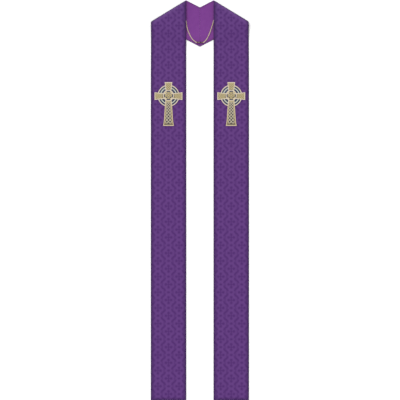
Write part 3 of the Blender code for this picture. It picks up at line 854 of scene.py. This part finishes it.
def wall(section, hem, relief):
    """A wall of cloth: its section carried along the laid band, rounded at the hem, with a relief."""
    across, offset, shown = section
    seam_offset = offset[-1]
    rising = np.radians(np.linspace(10, 90, HEM_STEPS))
    rows = band_rows(hem + EDGE_ROUND * (1 - np.cos(rising)))
    place, station = band_places(rows, across)
    height = offset - seam_offset + np.where(shown, relief(across, station), 0)
    thinned = np.ones((len(rows), 1))
    thinned[:HEM_STEPS, 0] = np.sin(rising)
    middle, normals = lay(place, station)
    run = wrapped(station)
    flat = np.broadcast_to(np.append(across, across[0]), run.shape)
    points = middle + normals * (seam_offset + height * thinned)[..., None]
    return Grid(points, np.stack([flat, run], axis=-1))


def swells(across, station):
    """Faint unevenness of a lined cloth."""
    slow = np.sin(station * 41) * np.cos(across * 52 + station * 17)
    quick = np.sin(station * 173 + across * 90) * np.sin(across * 149 + 0.7)
    return SWELL * (0.7 * slow + 0.3 * quick)


outer_section = wall_section(-TURNED_EDGE, SEAM_GAP / 2, FACE, FACE_COLUMNS, EDGE_FALL)
brocade = dress_both("brocade", [wall(outer_section, -2 * TURNED_EDGE, swells)], "brocade", "outer")

# %% [markdown]
# ## The lining
#
# The satin lining is drawn 0.3 mm inside the brocade's seam, so that it doesn't show from the front. It shows
# at the back of the neck, where the band lies face down. There the seam's tension leaves faint puckers.

# %% The lining
LINING_INSET = 0.0003
LINING_FALL = 0.0002
LINING_COLUMNS = 44
PUCKER = 0.00012
PUCKER_REACH = 0.007
PUCKER_RISE = 0.010


def puckers(across, station):
    """Little gathers along each seam on the back band: sines of uneven pitch that fade away inwards."""
    inwards = np.minimum(across, BAND_WIDTH - across) - LINING_INSET
    gathers = np.sin(station * 1150 + 2.2 * np.sin(station * 97)) + 0.5 * np.sin(station * 610 + 1.3)
    past_roll = across * SIN + (station - LENGTH) * COS - ROLL_END
    there = 1 - smooth_fall(past_roll / PUCKER_RISE)
    return PUCKER * (gathers - 1.5) * np.exp(-np.maximum(inwards, 0) / PUCKER_REACH) * there


inner_section = wall_section(LINING_INSET, -SEAM_GAP / 2, -BACKING, LINING_COLUMNS, LINING_FALL)
lining = dress_both("satin", [wall(inner_section, LINING_INSET, puckers)], "lining_satin", "lining")

# %% [markdown]
# ## Understitching
#
# A row of small running stitches, a few millimetres inside the seam, sews the lining to the turnings beneath
# it and keeps it rolled under. At the centre back, slanted stitches close the lining by hand. Each stitch is
# a short six-sided thread, fat in its middle, half sunk into the cloth.

# %% Understitching
STITCH_PITCH = 0.0034
STITCH_LENGTH = 0.0021
STITCH_RADIUS = 0.00016
STITCH_CORNERS = 6
STITCH_SINK = 0.00006
STITCH_IN = 0.0032  # from the lining's edge
STITCH_ENDS = 0.006
CLOSING_PITCH = 0.0042
CLOSING_REACH, CLOSING_SLANT = 0.0009, 0.6
CLOSING_IN = 0.004  # from the band's edges
CLOSING_ARCH = 0.0001
STITCH_SHAPE = np.array([0.35, 0.9, 1.0, 0.9, 0.35])
STITCH_COLOUR = dye(104, 54, 122)[:3]


def turns(count):
    """Angles of points evenly round a circle."""
    return np.arange(count) * 2 * math.pi / count


def thread_stitches(centres, up):
    """Stitches from a grid (stitch, point along it): each is a hexagon swept along its points."""
    sideways = np.cross(unit(np.gradient(centres, axis=1)), up)
    shape = STITCH_RADIUS * STITCH_SHAPE[:, None, None]
    turn = turns(STITCH_CORNERS)[:, None]
    out, rise = np.cos(turn) * shape, np.sin(turn) * shape
    rings = centres[:, :, None] + sideways[:, :, None] * out + up[:, :, None] * rise
    around = np.arange(STITCH_CORNERS + 1) * STITCH_RADIUS
    cloth = np.stack(np.meshgrid(around, np.linspace(0, STITCH_LENGTH, len(STITCH_SHAPE))), axis=-1)
    return [Grid(ring, cloth, STITCH_COLOUR) for ring in rings]


def understitching():
    """Running stitches along both edges of a band's lining."""
    grids = []
    for across in (LINING_INSET + STITCH_IN, BAND_WIDTH - LINING_INSET - STITCH_IN):
        starts = np.arange(STITCH_ENDS, float(seam_station(across)) - STITCH_ENDS, STITCH_PITCH)
        station = starts[:, None] + np.linspace(0, STITCH_LENGTH, len(STITCH_SHAPE))
        middle, normal = lay(np.full(station.shape, across), station)
        grids += thread_stitches(middle - normal * (BACKING - STITCH_SINK), -normal)
    return grids


def closing_stitches():
    """Slanted stitches over the seam between the two linings at the centre back."""
    ends = np.array([BAND_WIDTH - CLOSING_IN, CLOSING_IN])
    low, high = lay(ends, seam_station(ends))[0][:, 1]
    share = np.linspace(-1, 1, len(STITCH_SHAPE))
    y = np.arange(low, high, CLOSING_PITCH)[:, None] + share * CLOSING_REACH * CLOSING_SLANT
    z = FACE + BACKING + STITCH_SINK + CLOSING_ARCH * (1 - share**2)
    centres = np.stack(np.broadcast_arrays(share * CLOSING_REACH, y, z), axis=-1)
    return thread_stitches(centres, np.broadcast_to((0.0, 0.0, 1.0), centres.shape))


stitches = dress_both("understitching", understitching(), "lining_satin", finish="stitches")
stitches["middle"] = dress(build("closing_stitches", closing_stitches(), "stitches"), "lining_satin")

# %% [markdown]
# ## The outline of the cross
#
# The emblem is a ringed cross of the old Irish kind. Its arms widen from a waist, and its shaft down to a
# flared foot. `inset` draws the whole outline inwards, which is how the border and the ground get theirs.
# Every stretch keeps its number of points, so outlines of different insets can be joined point to point.

# %% The outline of the cross
CROSS_CENTRE = (0.1067, 0.3563)
ARM_UP, ARM_SIDE, ARM_DOWN = 0.0461, 0.0473, 0.1027
ARM_WAIST, ARM_END = 0.0095, 0.0131  # half widths
ARM_DROP = 0.0015  # of the side arms, below the middle of the rings
ARM_POWER, SHAFT_POWER = 1.5, 0.75  # of the share of the length, in the half widths
SHAFT_END = 0.0164
FOOT_FLARE, FLARE_START = 0.0021, 0.72
OUTLINE_STEP = 0.0006


def arm_half(share, inset=0.0):
    """Half width of an arm at a share of its length, which is 0 at its waist."""
    return ARM_WAIST - inset + (ARM_END - ARM_WAIST) * share**ARM_POWER


def shaft_half(share, inset=0.0):
    """Half width of the shaft, with a square flare at its foot."""
    flare = FOOT_FLARE * np.maximum(0, (share - FLARE_START) / (1 - FLARE_START)) ** 2
    return ARM_WAIST - inset + (SHAFT_END - ARM_WAIST) * share**SHAFT_POWER + flare


def cross_outline(inset):
    """Points round the cross, clockwise from the top of its middle."""
    crotch = ARM_WAIST - inset

    def shares(length):
        return np.arange(round(length / OUTLINE_STEP)) / round(length / OUTLINE_STEP)

    def reach(length, share):
        return crotch + (length - inset - crotch) * share

    end, up, side, shaft, foot = map(shares, (ARM_END, ARM_UP, ARM_SIDE, ARM_DOWN, SHAFT_END))
    half = [
        (arm_half(1.0, inset) * end, reach(ARM_UP, 1.0) + 0 * end),
        (arm_half(1 - up, inset), reach(ARM_UP, 1 - up)),
        (reach(ARM_SIDE, side), arm_half(side, inset) - ARM_DROP),
        (reach(ARM_SIDE, 1.0) + 0 * end, arm_half(1.0, inset) * (1 - 2 * end) - ARM_DROP),
        (reach(ARM_SIDE, 1 - side), -arm_half(1 - side, inset) - ARM_DROP),
        (shaft_half(shaft, inset), -reach(ARM_DOWN, shaft)),
        (shaft_half(1.0, inset) * (1 - foot), -reach(ARM_DOWN, 1.0) + 0 * foot),
    ]
    right = np.vstack([np.column_stack(stretch) for stretch in half])
    return np.vstack([right, [[0.0, -reach(ARM_DOWN, 1.0)]], right[:0:-1] * (-1, 1)])


print(len(cross_outline(0.0)), "points round the cross")

# %% [markdown]
# ## Raised embroidery
#
# Satin stitch lies over padding, so each raised line is a tube of boxy elliptical section. `raised_line`
# sweeps one along a closed flat path, and `raised_border` between two insets of the cross's outline. Their
# flat coordinates run across the line first and along it second, which lays the threads across the line, a
# little aslant. Filled shapes are stacks of outlines.

# %% Raised embroidery
EMBLEM_LIFT = FACE + SEAM_GAP  # underside of the emblem, above the front's middle
GOLD, PALE_GOLD, DEEP_GOLD, BLUSH, MINT, NAVY = (
    np.array(dye(*shown)[:3])
    for shown in (
        (204, 190, 142), (202, 192, 166), (158, 138, 94), (244, 228, 202), (214, 222, 202), (48, 56, 92)
    )
)
SHAFT_TONE = np.array([0.89, 0.86, 0.70])
BOSS = 0.0190
SECTION_CORNERS = 16
SECTION_POWER = 0.7  # under 1 makes the section boxier than an ellipse
THREAD_SLANT = 0.25


def section_round(count):
    """Out and rise round a padded section: the cosine and the sine, each to a power under 1."""
    waves = (np.cos(turns(count)), np.sin(turns(count)))
    return tuple(np.sign(wave) * np.abs(wave) ** SECTION_POWER for wave in waves)


OUT, RISE = section_round(SECTION_CORNERS)


def on_front(flat, height):
    """Places points about the emblem's centre on a front, `height` above the emblem's underside."""
    flat = np.asarray(flat) + CROSS_CENTRE
    level = front_level(flat[..., 0], flat[..., 1]) + EMBLEM_LIFT + height
    return np.stack([flat[..., 0], flat[..., 1], level], axis=-1)


def side_shaded_tones(tones):
    """Colours round a section: the first, darker, at its sides as painted shade, and the second over its top.
    """
    edge, crest = tones
    return edge + (crest - edge) * np.clip(RISE, 0, 1)[:, None]


def satin_tube(flat, height, path, half_width, colours):
    """Satin stitch over a closed grid of sections, whose flat coordinates follow its middle path."""
    run = lengths_along(np.vstack([path, path[:1]]))[:, None]
    across = np.append(OUT, OUT[0]) * half_width
    cloth = np.stack(np.broadcast_arrays(across, run + across * THREAD_SLANT), axis=-1)
    return Grid(on_front(flat, height), cloth, colours, closed=True)


def sideways_round(path):
    """Unit directions to the left of a closed flat path, from the neighbours of each point."""
    ahead = unit(np.roll(path, -1, axis=0) - np.roll(path, 1, axis=0))
    return np.column_stack([-ahead[:, 1], ahead[:, 0]])


def raised_line(path, half_width, half_height, level, tones):
    """A closed line of satin stitch: an ellipse swept along a flat path, with its middle at `level`."""
    reach = np.broadcast_to(half_width, len(path))[:, None] * OUT
    flat = path[:, None] + sideways_round(path)[:, None] * reach[..., None]
    height = np.broadcast_to(level, len(path))[:, None] + half_height * RISE
    return satin_tube(flat, height, path, np.mean(half_width), side_shaded_tones(tones))


def raised_border(inset, width, bottom, top, tones):
    """Satin stitch round the cross, from the outline at `inset` to the one `width` further in. Its colour is
    multiplied by SHAFT_TONE from the boss down, because the shaft's thread is duller."""
    flat = np.stack([cross_outline(one) for one in inset + width / 2 * (1 - OUT)], axis=1)
    height = (bottom + top) / 2 + (top - bottom) / 2 * RISE
    middle = flat.mean(axis=1)
    on_shaft = 1 - smooth_fall((-middle[:, 1] - BOSS) / BOSS)
    colours = side_shaded_tones(tones) * (1 + (SHAFT_TONE - 1) * on_shaft[:, None, None])
    return satin_tube(flat, height, middle, width / 2, colours)


def stack(colour, *rows):
    """A filled shape from outlines, each (flat points, height), the last of them its top."""
    flat = np.stack([outline for outline, _ in rows])
    return Grid(on_front(flat, np.array([height for _, height in rows])[:, None]), wrapped(flat), colour)


def plate(colour, outline, bottom, shoulder, *crown):
    """A filled shape with upright sides, and a crown, (smaller outline, top), where one is given."""
    return stack(colour, (outline, bottom), (outline, shoulder), *([crown] if crown else []))


def circle(radius, steps=120):
    return np.column_stack([radius * np.sin(turns(steps)), radius * np.cos(turns(steps))])


def round_plate(colour, radius, bottom, shoulder, drawn_in, top):
    return plate(colour, circle(radius), bottom, shoulder, circle(radius - drawn_in), top)


print(SECTION_CORNERS, "corners round a line of stitching")

# %% [markdown]
# ## Interlace
#
# Plaitwork is a path that bounces round a box of cells, always at 45 degrees, and passes over and under
# itself in turn. Across and up are two triangular waves of the same steady travel, softened near the box's
# sides, so that the strand turns in a curve. It crosses itself wherever the travel is a whole number away
# from the sides, and there it lies over if its column is odd and it climbs to the right, and so on. One
# strand fills the whole box where half its columns and half its rows have no common divisor.

# %% Interlace
TURN_SOFTNESS = 0.55  # of a cell, from a side, where the strand starts to curve
PLAIT_STEPS = 12  # in a cell
Panel = namedtuple("Panel", "columns rows start pace quicken room fill")
# start: of row 0, from the centre. pace and quicken: along for each row, and for its square.
# room: from the middle to a strand's outer turns, as a share of the arm's half width.
# fill: a strand's half width, as a share of the way to the next strand, taken halfway to that way's mean.
SHAFT_PANEL = Panel(4, 14, 0.0210, 0.00415, 0.00008, 0.63, 0.185)
ARM_PANEL = Panel(4, 6, 0.0208, 0.00368, 0.0, 0.60, 0.25)
TURN_MAKE_UP = 1.16  # by which softened turns fall short of the box's sides
STRAND_LEVEL = 0.00128
STRAND_RISE = 0.00022
STRAND_HALF_HEIGHT = 0.00034


def bounce(travel, cells):
    """A triangular wave between 0 and cells."""
    return cells * np.abs((travel / cells + 1) % 2 - 1)


def soften(place, cells):
    """Within s of a side, the distance d from it becomes s/2 + d^2/(2s)."""
    inwards = np.minimum(place, cells - place)
    s = TURN_SOFTNESS
    soft = np.where(inwards < s, s / 2 + inwards**2 / (2 * s), inwards)
    return np.where(place < cells / 2, soft, cells - soft)


def plait(columns, rows):
    """The strand that fills a box of cells, as (across, up, over), with over from -1 to 1."""
    travel = np.arange(2 * math.lcm(columns, rows) * PLAIT_STEPS) / PLAIT_STEPS

    def over(whole):
        across, up = bounce(whole + 1, columns), bounce(whole, rows)
        later_across, later_up = bounce(whole + 1 + 0.1, columns), bounce(whole + 0.1, rows)
        climbing = np.sign((later_across - across) * (later_up - up))
        inside = (across > 0.5) & (across < columns - 0.5) & (up > 0.5) & (up < rows - 0.5)
        return np.where(inside, climbing * np.where(np.round(across) % 2 == 1, 1, -1), 0)

    whole = np.floor(travel + 1e-9)
    blend_in = 1 - smooth_fall(travel - whole)
    height = over(whole) * (1 - blend_in) + over(whole + 1) * blend_in
    return soften(bounce(travel + 1, columns), columns), soften(bounce(travel, rows), rows), height


def interlace(panel, half_at, ahead, aside, drop, crest):
    """A plait along an arm that points `ahead`, whose half width half_at gives."""
    across, row, height = plait(panel.columns, panel.rows)
    along = panel.start + panel.pace * row + panel.quicken * row**2
    reach = half_at(along) * panel.room * TURN_MAKE_UP
    out = (across / panel.columns * 2 - 1) * reach
    flat = out[:, None] * aside + along[:, None] * ahead - (0, drop)
    cell_across, cell_along = 2 * reach / panel.columns, panel.pace + 2 * panel.quicken * row
    apart = 2 * cell_across * cell_along / np.hypot(cell_across, cell_along)
    half_width = panel.fill * (apart + apart.mean()) / 2
    level = STRAND_LEVEL + STRAND_RISE * height
    return raised_line(flat, half_width, STRAND_HALF_HEIGHT, level, (DEEP_GOLD, crest))


def arm_at(along):
    return arm_half(np.clip((along - ARM_WAIST) / (ARM_SIDE - ARM_WAIST), 0, 1))


def shaft_at(along):
    return shaft_half(np.clip((along - ARM_WAIST) / (ARM_DOWN - ARM_WAIST), 0, 1))


RIGHT, LEFT, UP, DOWN = np.array([(1, 0), (-1, 0), (0, 1), (0, -1)])
plaits = [
    interlace(SHAFT_PANEL, shaft_at, DOWN, RIGHT, 0.0, PALE_GOLD),
    interlace(ARM_PANEL, arm_at, UP, RIGHT, 0.0, GOLD),
    interlace(ARM_PANEL, arm_at, RIGHT, UP, ARM_DROP, GOLD),
    interlace(ARM_PANEL, arm_at, LEFT, UP, ARM_DROP, GOLD),
]
print("sections in each plait:", *(len(grid.points) for grid in plaits))

# %% [markdown]
# ## The rings and the boss
#
# Two rings join the arms, and dip where they pass under them. A boss covers the arms' crossing. Inside the
# boss, a rosette of two strands goes round a button. One is a ring and one waves in and out of it, and their
# heights swing in opposite ways, so each passes over the other at every second meeting.

# %% The rings and the boss
RINGS = (  # inner radius, outer radius, top, and tones: the sides' painted shade, and the top
    (0.0336, 0.0371, 0.00140, (BLUSH * 0.56, BLUSH * 0.9)),
    (0.0254, 0.0287, 0.00140, (MINT * 0.62, MINT)),
)
RING_BOTTOM, RING_STEPS = 0.0004, 240
RING_DIP = 0.0004  # of the rings under the arms
RING_HIDES_FROM, RING_DIP_RUN = 0.0021, 0.0012  # inwards from an arm's side, and how far the dip takes
BOSS_RING = (0.0159, BOSS, 0.00230, (MINT * 0.55, BLUSH * 0.94))
BOSS_RISE = 0.0008  # of the boss's centre, above that of the rings
BOSS_FIELD = 0.0118  # of the rosette, inside the dark ring
# Radius, bottom, shoulder, how far the top is drawn in, and top.
DARK_RING = (BOSS - 0.001, 0.0004, 0.0013, 0.0006, 0.0014)
FIELD = (BOSS_FIELD, 0.0010, 0.0015, 0.0004, 0.0016)
FIELD_EDGE = (0.0006, 0.0004, 0.0017)  # half width, half height and level
BRIDGE = (0.0139, 0.0024, 0.0050)  # middle radius, half length and half width
BRIDGE_CORNERS, BRIDGE_TOP = 28, 0.75  # the top's size, as a share
BRIDGE_TURNS = (45, 135, 225, 315)  # degrees
BRIDGE_LEVELS = (0.0012, 0.0017, 0.0019)
PETAL_RADIUS, PETAL_SWING, PETALS = 0.0076, 0.0025, 4
LOOP_RADIUS = 0.0060  # of the ring that the petals pass over and under
KNOT_SECTION = (0.00105, 0.0003)  # half width and half height
KNOT_LEVEL, KNOT_RISE, KNOT_STEPS = 0.00182, 0.0002, 288
BUTTON, BUTTON_STEPS, BUTTON_DOME = 0.0028, 48, (0, 15, 35, 55, 75)  # the dome's rows are in degrees
BUTTON_BOTTOM, BUTTON_START, BUTTON_RISE = 0.0012, 0.0016, 0.0006
EYELET, EYELET_PLACE = 0.0022, 0.0094  # radius of a dark spot between the petals, and its distance out
EYELET_STEPS, EYELET_LEVELS = 24, (0.0012, 0.00164)


def ring(inner, outer, top, tones, dip=RING_DIP):
    """A raised ring, which dips by `dip` where it passes under the arms."""
    radius, half_height = (inner + outer) / 2, (top - RING_BOTTOM) / 2
    path = circle(radius, RING_STEPS)
    off_arm = np.minimum(np.abs(path[:, 0]), np.abs(path[:, 1] + ARM_DROP))
    under = smooth_fall((off_arm - arm_at(radius) + RING_HIDES_FROM) / RING_DIP_RUN)
    return raised_line(path, (outer - inner) / 2, half_height, top - half_height - dip * under, tones)


def bridge_and_eyelet(degrees):
    """A gold bridge over the boss's dark ring, and the dark spot inside it."""
    turn = math.radians(degrees)
    ahead, aside = np.array([math.sin(turn), math.cos(turn)]), np.array([math.cos(turn), -math.sin(turn)])
    out, rise = section_round(BRIDGE_CORNERS)
    middle, half_length, half_width = BRIDGE
    flat = ahead * (middle + half_length * out[:, None]) + aside * half_width * rise[:, None]
    inner = ahead * middle + (flat - ahead * middle) * BRIDGE_TOP
    bottom, shoulder, top = BRIDGE_LEVELS
    spot = circle(EYELET, EYELET_STEPS) + ahead * EYELET_PLACE
    return [plate(GOLD, flat, bottom, shoulder, inner, top), plate(NAVY, spot, *EYELET_LEVELS)]


def rosette():
    """The two strands of the boss's knot, and the domed button in its middle."""
    swing = PETALS * turns(KNOT_STEPS)
    grids = []
    for radius, over in (PETAL_RADIUS + PETAL_SWING * np.cos(swing), 1), (LOOP_RADIUS, -1):
        level = KNOT_LEVEL + over * KNOT_RISE * np.sin(swing)
        grids.append(raised_line(circle(radius, KNOT_STEPS), *KNOT_SECTION, level, (DEEP_GOLD, GOLD)))
    button = [(circle(BUTTON, BUTTON_STEPS), BUTTON_BOTTOM)]
    for rise in np.sin(np.radians(BUTTON_DOME)):
        row = circle(BUTTON * math.sqrt(1 - rise**2), BUTTON_STEPS)
        button.append((row, BUTTON_START + BUTTON_RISE * rise))
    return grids + [stack(GOLD, *button)]


parts = [round_plate(NAVY, *DARK_RING), round_plate(DEEP_GOLD, *FIELD), ring(*BOSS_RING, dip=0)]
parts.append(raised_line(circle(BOSS_FIELD), *FIELD_EDGE, (DEEP_GOLD, GOLD)))
for degrees in BRIDGE_TURNS:
    parts += bridge_and_eyelet(degrees)
boss = [part._replace(points=part.points + (0, BOSS_RISE, 0)) for part in parts + rosette()]
print(len(boss), "parts make the boss")

# %% [markdown]
# ## The whole emblem
#
# Under the plaits lie the grounds: gold on the arms, navy within the rings and under the shaft's plait, and a
# plain gold collar between that plait and the boss. Two borders of satin stitch go all round.

# %% Sew the emblems
ARM_EDGE, ARM_SHOULDER, ARM_TOP_EDGE, ARM_TOP = 0.0006, 0.0010, 0.0022, 0.0011  # insets and heights
DISC = (0.0368, 0.0, 0.0006, 0.0005, 0.0009)  # a round plate, with columns as for DARK_RING
OUTER_BORDER = (0.0, 0.0028, 0.0, 0.0020)  # inset, width, bottom and top
INNER_BORDER = (0.0029, 0.0012, 0.0005, 0.0016)
GROUND_BOTTOM, GROUND_TOP, COLLAR_TOP = 0.0009, 0.00115, 0.0013
PLAIT_GROUND_SHARE = 0.62  # of the shaft's half width, of the navy ground under its plait
PLAIT_POINT = (0.0902, 0.0955)  # where that ground starts to narrow, and where it ends
PLAIT_NARROWS = 0.8  # of its width, by its end
COLLAR = (0.0165, 0.0222)  # start and end from the centre, and so are the foot bar's
FOOT_BAR, FOOT_BAR_INSET = (0.0967, 0.0989), 0.0036  # from the shaft's sides


def shaft_plate(colour, stretch, steps, top, half):
    """A ground on the shaft, whose half width is a function of the way along."""
    along = np.linspace(*stretch, steps)
    right = np.column_stack([half(along), -along])
    return plate(colour, np.vstack([right, right[::-1] * (-1, 1)]), GROUND_BOTTOM, top)


def collar_half(along):
    return shaft_at(along) * PLAIT_GROUND_SHARE


def plait_half(along):
    narrow, finish = PLAIT_POINT
    return collar_half(along) * (1 - PLAIT_NARROWS * np.clip((along - narrow) / (finish - narrow), 0, 1))


arms = (cross_outline(ARM_EDGE), 0.0, ARM_SHOULDER, cross_outline(ARM_TOP_EDGE), ARM_TOP)
emblem = [
    plate(DEEP_GOLD * 0.7, *arms),
    round_plate(NAVY, *DISC),
    shaft_plate(GOLD * 0.9, COLLAR, 8, COLLAR_TOP, collar_half),
    shaft_plate(NAVY * 0.35, (COLLAR[1], PLAIT_POINT[1]), 60, GROUND_TOP, plait_half),
    shaft_plate(NAVY * 0.7, FOOT_BAR, 8, GROUND_TOP, lambda along: shaft_at(along) - FOOT_BAR_INSET),
    raised_border(*OUTER_BORDER, (BLUSH * 0.62, BLUSH)),
    raised_border(*INNER_BORDER, (DEEP_GOLD, GOLD)),
    *(ring(*row) for row in RINGS),
    *plaits,
    *boss,
]
emblems = dress_both("emblem", emblem, "embroidery", "cross")

# %% [markdown]
# ## The neck cord
#
# The cord is three gold plies twisted together. Its section is the outline of three overlapping circles: at
# an angle a from the middle of a ply, the surface is d cos a + sqrt(r^2 - d^2 sin^2 a) from the axis. The
# section turns as it goes along.

# %% The neck cord
PLY_RADIUS = 0.00080
PLY_REACH = CORD_DIAMETER / 2 - PLY_RADIUS
LAY_LENGTH = 0.0108  # of one turn
CORD_CORNERS = 42
CORD_ROUND, YARN_SLANT = 0.009, 0.35  # flat width of the cord's surface, and how its yarn leans
CORD_GOLD = np.array(dye(240, 219, 194)[:3])
# Painted shade, in the grooves between the plies.
CORD_SHADE = np.array(dye(164, 138, 120)[:3])


def twisted_cord(path, hand):
    """Three plies twisted about a path that never stands upright, with painted shade in the grooves."""
    ahead = unit(np.gradient(path, axis=0))
    sideways = unit(np.cross(ahead, (0.0, 0.0, 1.0)))
    up = np.cross(sideways, ahead)
    run = lengths_along(path)[:, None]
    turn = turns(CORD_CORNERS)
    off_ply = (turn - hand * 2 * math.pi * run / LAY_LENGTH) % (2 * math.pi / 3) - math.pi / 3
    reach = PLY_REACH * np.cos(off_ply) + np.sqrt(PLY_RADIUS**2 - (PLY_REACH * np.sin(off_ply)) ** 2)
    out, rise = (reach * wave for wave in (np.cos(turn), np.sin(turn)))
    points = path[:, None] + sideways[:, None] * out[..., None] + up[:, None] * rise[..., None]
    share = ((reach / reach.max() - 0.5) * 2)[..., None]
    around = np.linspace(0, CORD_ROUND, CORD_CORNERS + 1)
    cloth = np.stack(np.broadcast_arrays(run, around - hand * run * YARN_SLANT), axis=-1)
    return Grid(points, cloth, CORD_SHADE + (CORD_GOLD - CORD_SHADE) * share)


cords = {}
for label, hand in (("left", 1), ("right", -1)):
    grid = twisted_cord(cord_paths[label], hand)
    cords[label] = build(f"twisted_cord_{label}", [grid], "neck_cord", sharp=80)
    dress(cords[label], "neck_cord", f"cord_{label}")

# %% [markdown]
# ## The clasp
#
# Each end of the cord is crimped in a turned cap with a wire eye. A small ring hangs on the left eye, and a
# hook on the right one holds it. All of them are closed tubes: a circle swept round a flat loop, thin where
# the hook has its gate and thick where it has its body. The ring's brass is near white, a painted glint, and
# the hook's brass is dark, partly painted shadow.

# %% The clasp
CAP_START = 0.0106
CAP_CORNERS = 40
SOCKET_RADIUS, SOCKET_DEPTH = 0.0019, 0.0014
CAP_PROFILE = (  # distance from the mouth, and radius
    (SOCKET_DEPTH, SOCKET_RADIUS), (0.0, SOCKET_RADIUS), (-0.00002, 0.0022), (0.00008, 0.00242),
    (0.0003, 0.0025), (0.0008, 0.0025), (0.0010, 0.00234), (0.0012, 0.00234), (0.0014, 0.0025),
    (0.0022, 0.0025), (0.0024, 0.00234), (0.0026, 0.00234), (0.0028, 0.0025), (0.0034, 0.0025),
    (0.0039, 0.0023), (0.0043, 0.0019), (0.0046, 0.0014),
)
LOOP_STEPS, WIRE_CORNERS = 64, 16
WIRE_FLAT = 0.00065  # half the thickness, at most, across a loop's plane
HOOK_GATE, HOOK_SWELL, HOOK_TURN = 0.00068, 0.00026, 0.6
# The ring gets a painted glint, and the hook partly painted shadow.
GLINT_AND_SHADOW_FINISHES = {"clasp_ring": "glint_brass", "clasp_hook": "shadowed_brass"}


def turned_cap(side):
    """A lathe shape round the clasp's axis."""
    mouth, radius = np.array(CAP_PROFILE).T[..., None]
    turn = turns(CAP_CORNERS)
    x, y, z = side * (CAP_START - mouth), CLASP_Y + radius * np.cos(turn), CLASP_Z + radius * np.sin(turn)
    points = np.stack(np.broadcast_arrays(x, y, z), axis=-1)
    return Grid(points, np.zeros((len(CAP_PROFILE), CAP_CORNERS + 1, 2)))


def wire_loop(centre_x, reach_x, reach_y, wire, upright, flatten=1.0):
    """A closed loop of wire on the clasp's axis, flat or upright; wire may change round the loop."""
    angle, turn = turns(LOOP_STEPS), turns(WIRE_CORNERS)
    path = np.column_stack([centre_x + reach_x * np.cos(angle), reach_y * np.sin(angle)])
    thick = np.broadcast_to(wire, LOOP_STEPS)[:, None]
    in_plane = path[:, None] + sideways_round(path)[:, None] * (thick * np.cos(turn))[..., None]
    off_plane = np.minimum(thick, WIRE_FLAT) * flatten * np.sin(turn)
    x, level = in_plane[..., 0], in_plane[..., 1]
    y, z = (off_plane, level) if upright else (level, off_plane)
    points = np.stack([x, CLASP_Y + y, CLASP_Z + z], axis=-1)
    return Grid(points, np.zeros((LOOP_STEPS + 1, WIRE_CORNERS + 1, 2)), closed=True)


# Thick along the hook's back, thin along its gate: a smooth step round the loop.
hook_wire = HOOK_GATE + HOOK_SWELL * (1 - np.cos(turns(LOOP_STEPS) + HOOK_TURN)) / 2
clasp = {
    "cap_left": [turned_cap(-1), wire_loop(-0.0052, 0.0015, 0.0015, 0.00045, False)],
    "cap_right": [turned_cap(1), wire_loop(0.0050, 0.0015, 0.0015, 0.00045, True)],
    "clasp_ring": [wire_loop(-0.00295, 0.0020, 0.0020, 0.00048, True)],
    "clasp_hook": [
        wire_loop(-0.0001, 0.00205, 0.0035, hook_wire, False, 1.1),
        wire_loop(0.0035, 0.00117, 0.0011, 0.00036, False, 1.4),
    ],
}
fittings = {}
for node, grids in clasp.items():
    fittings[node] = build(f"brass_{node}", grids, GLINT_AND_SHADOW_FINISHES.get(node, "antique_brass"), sharp=60)
    dress(fittings[node], "antique_brass", node)
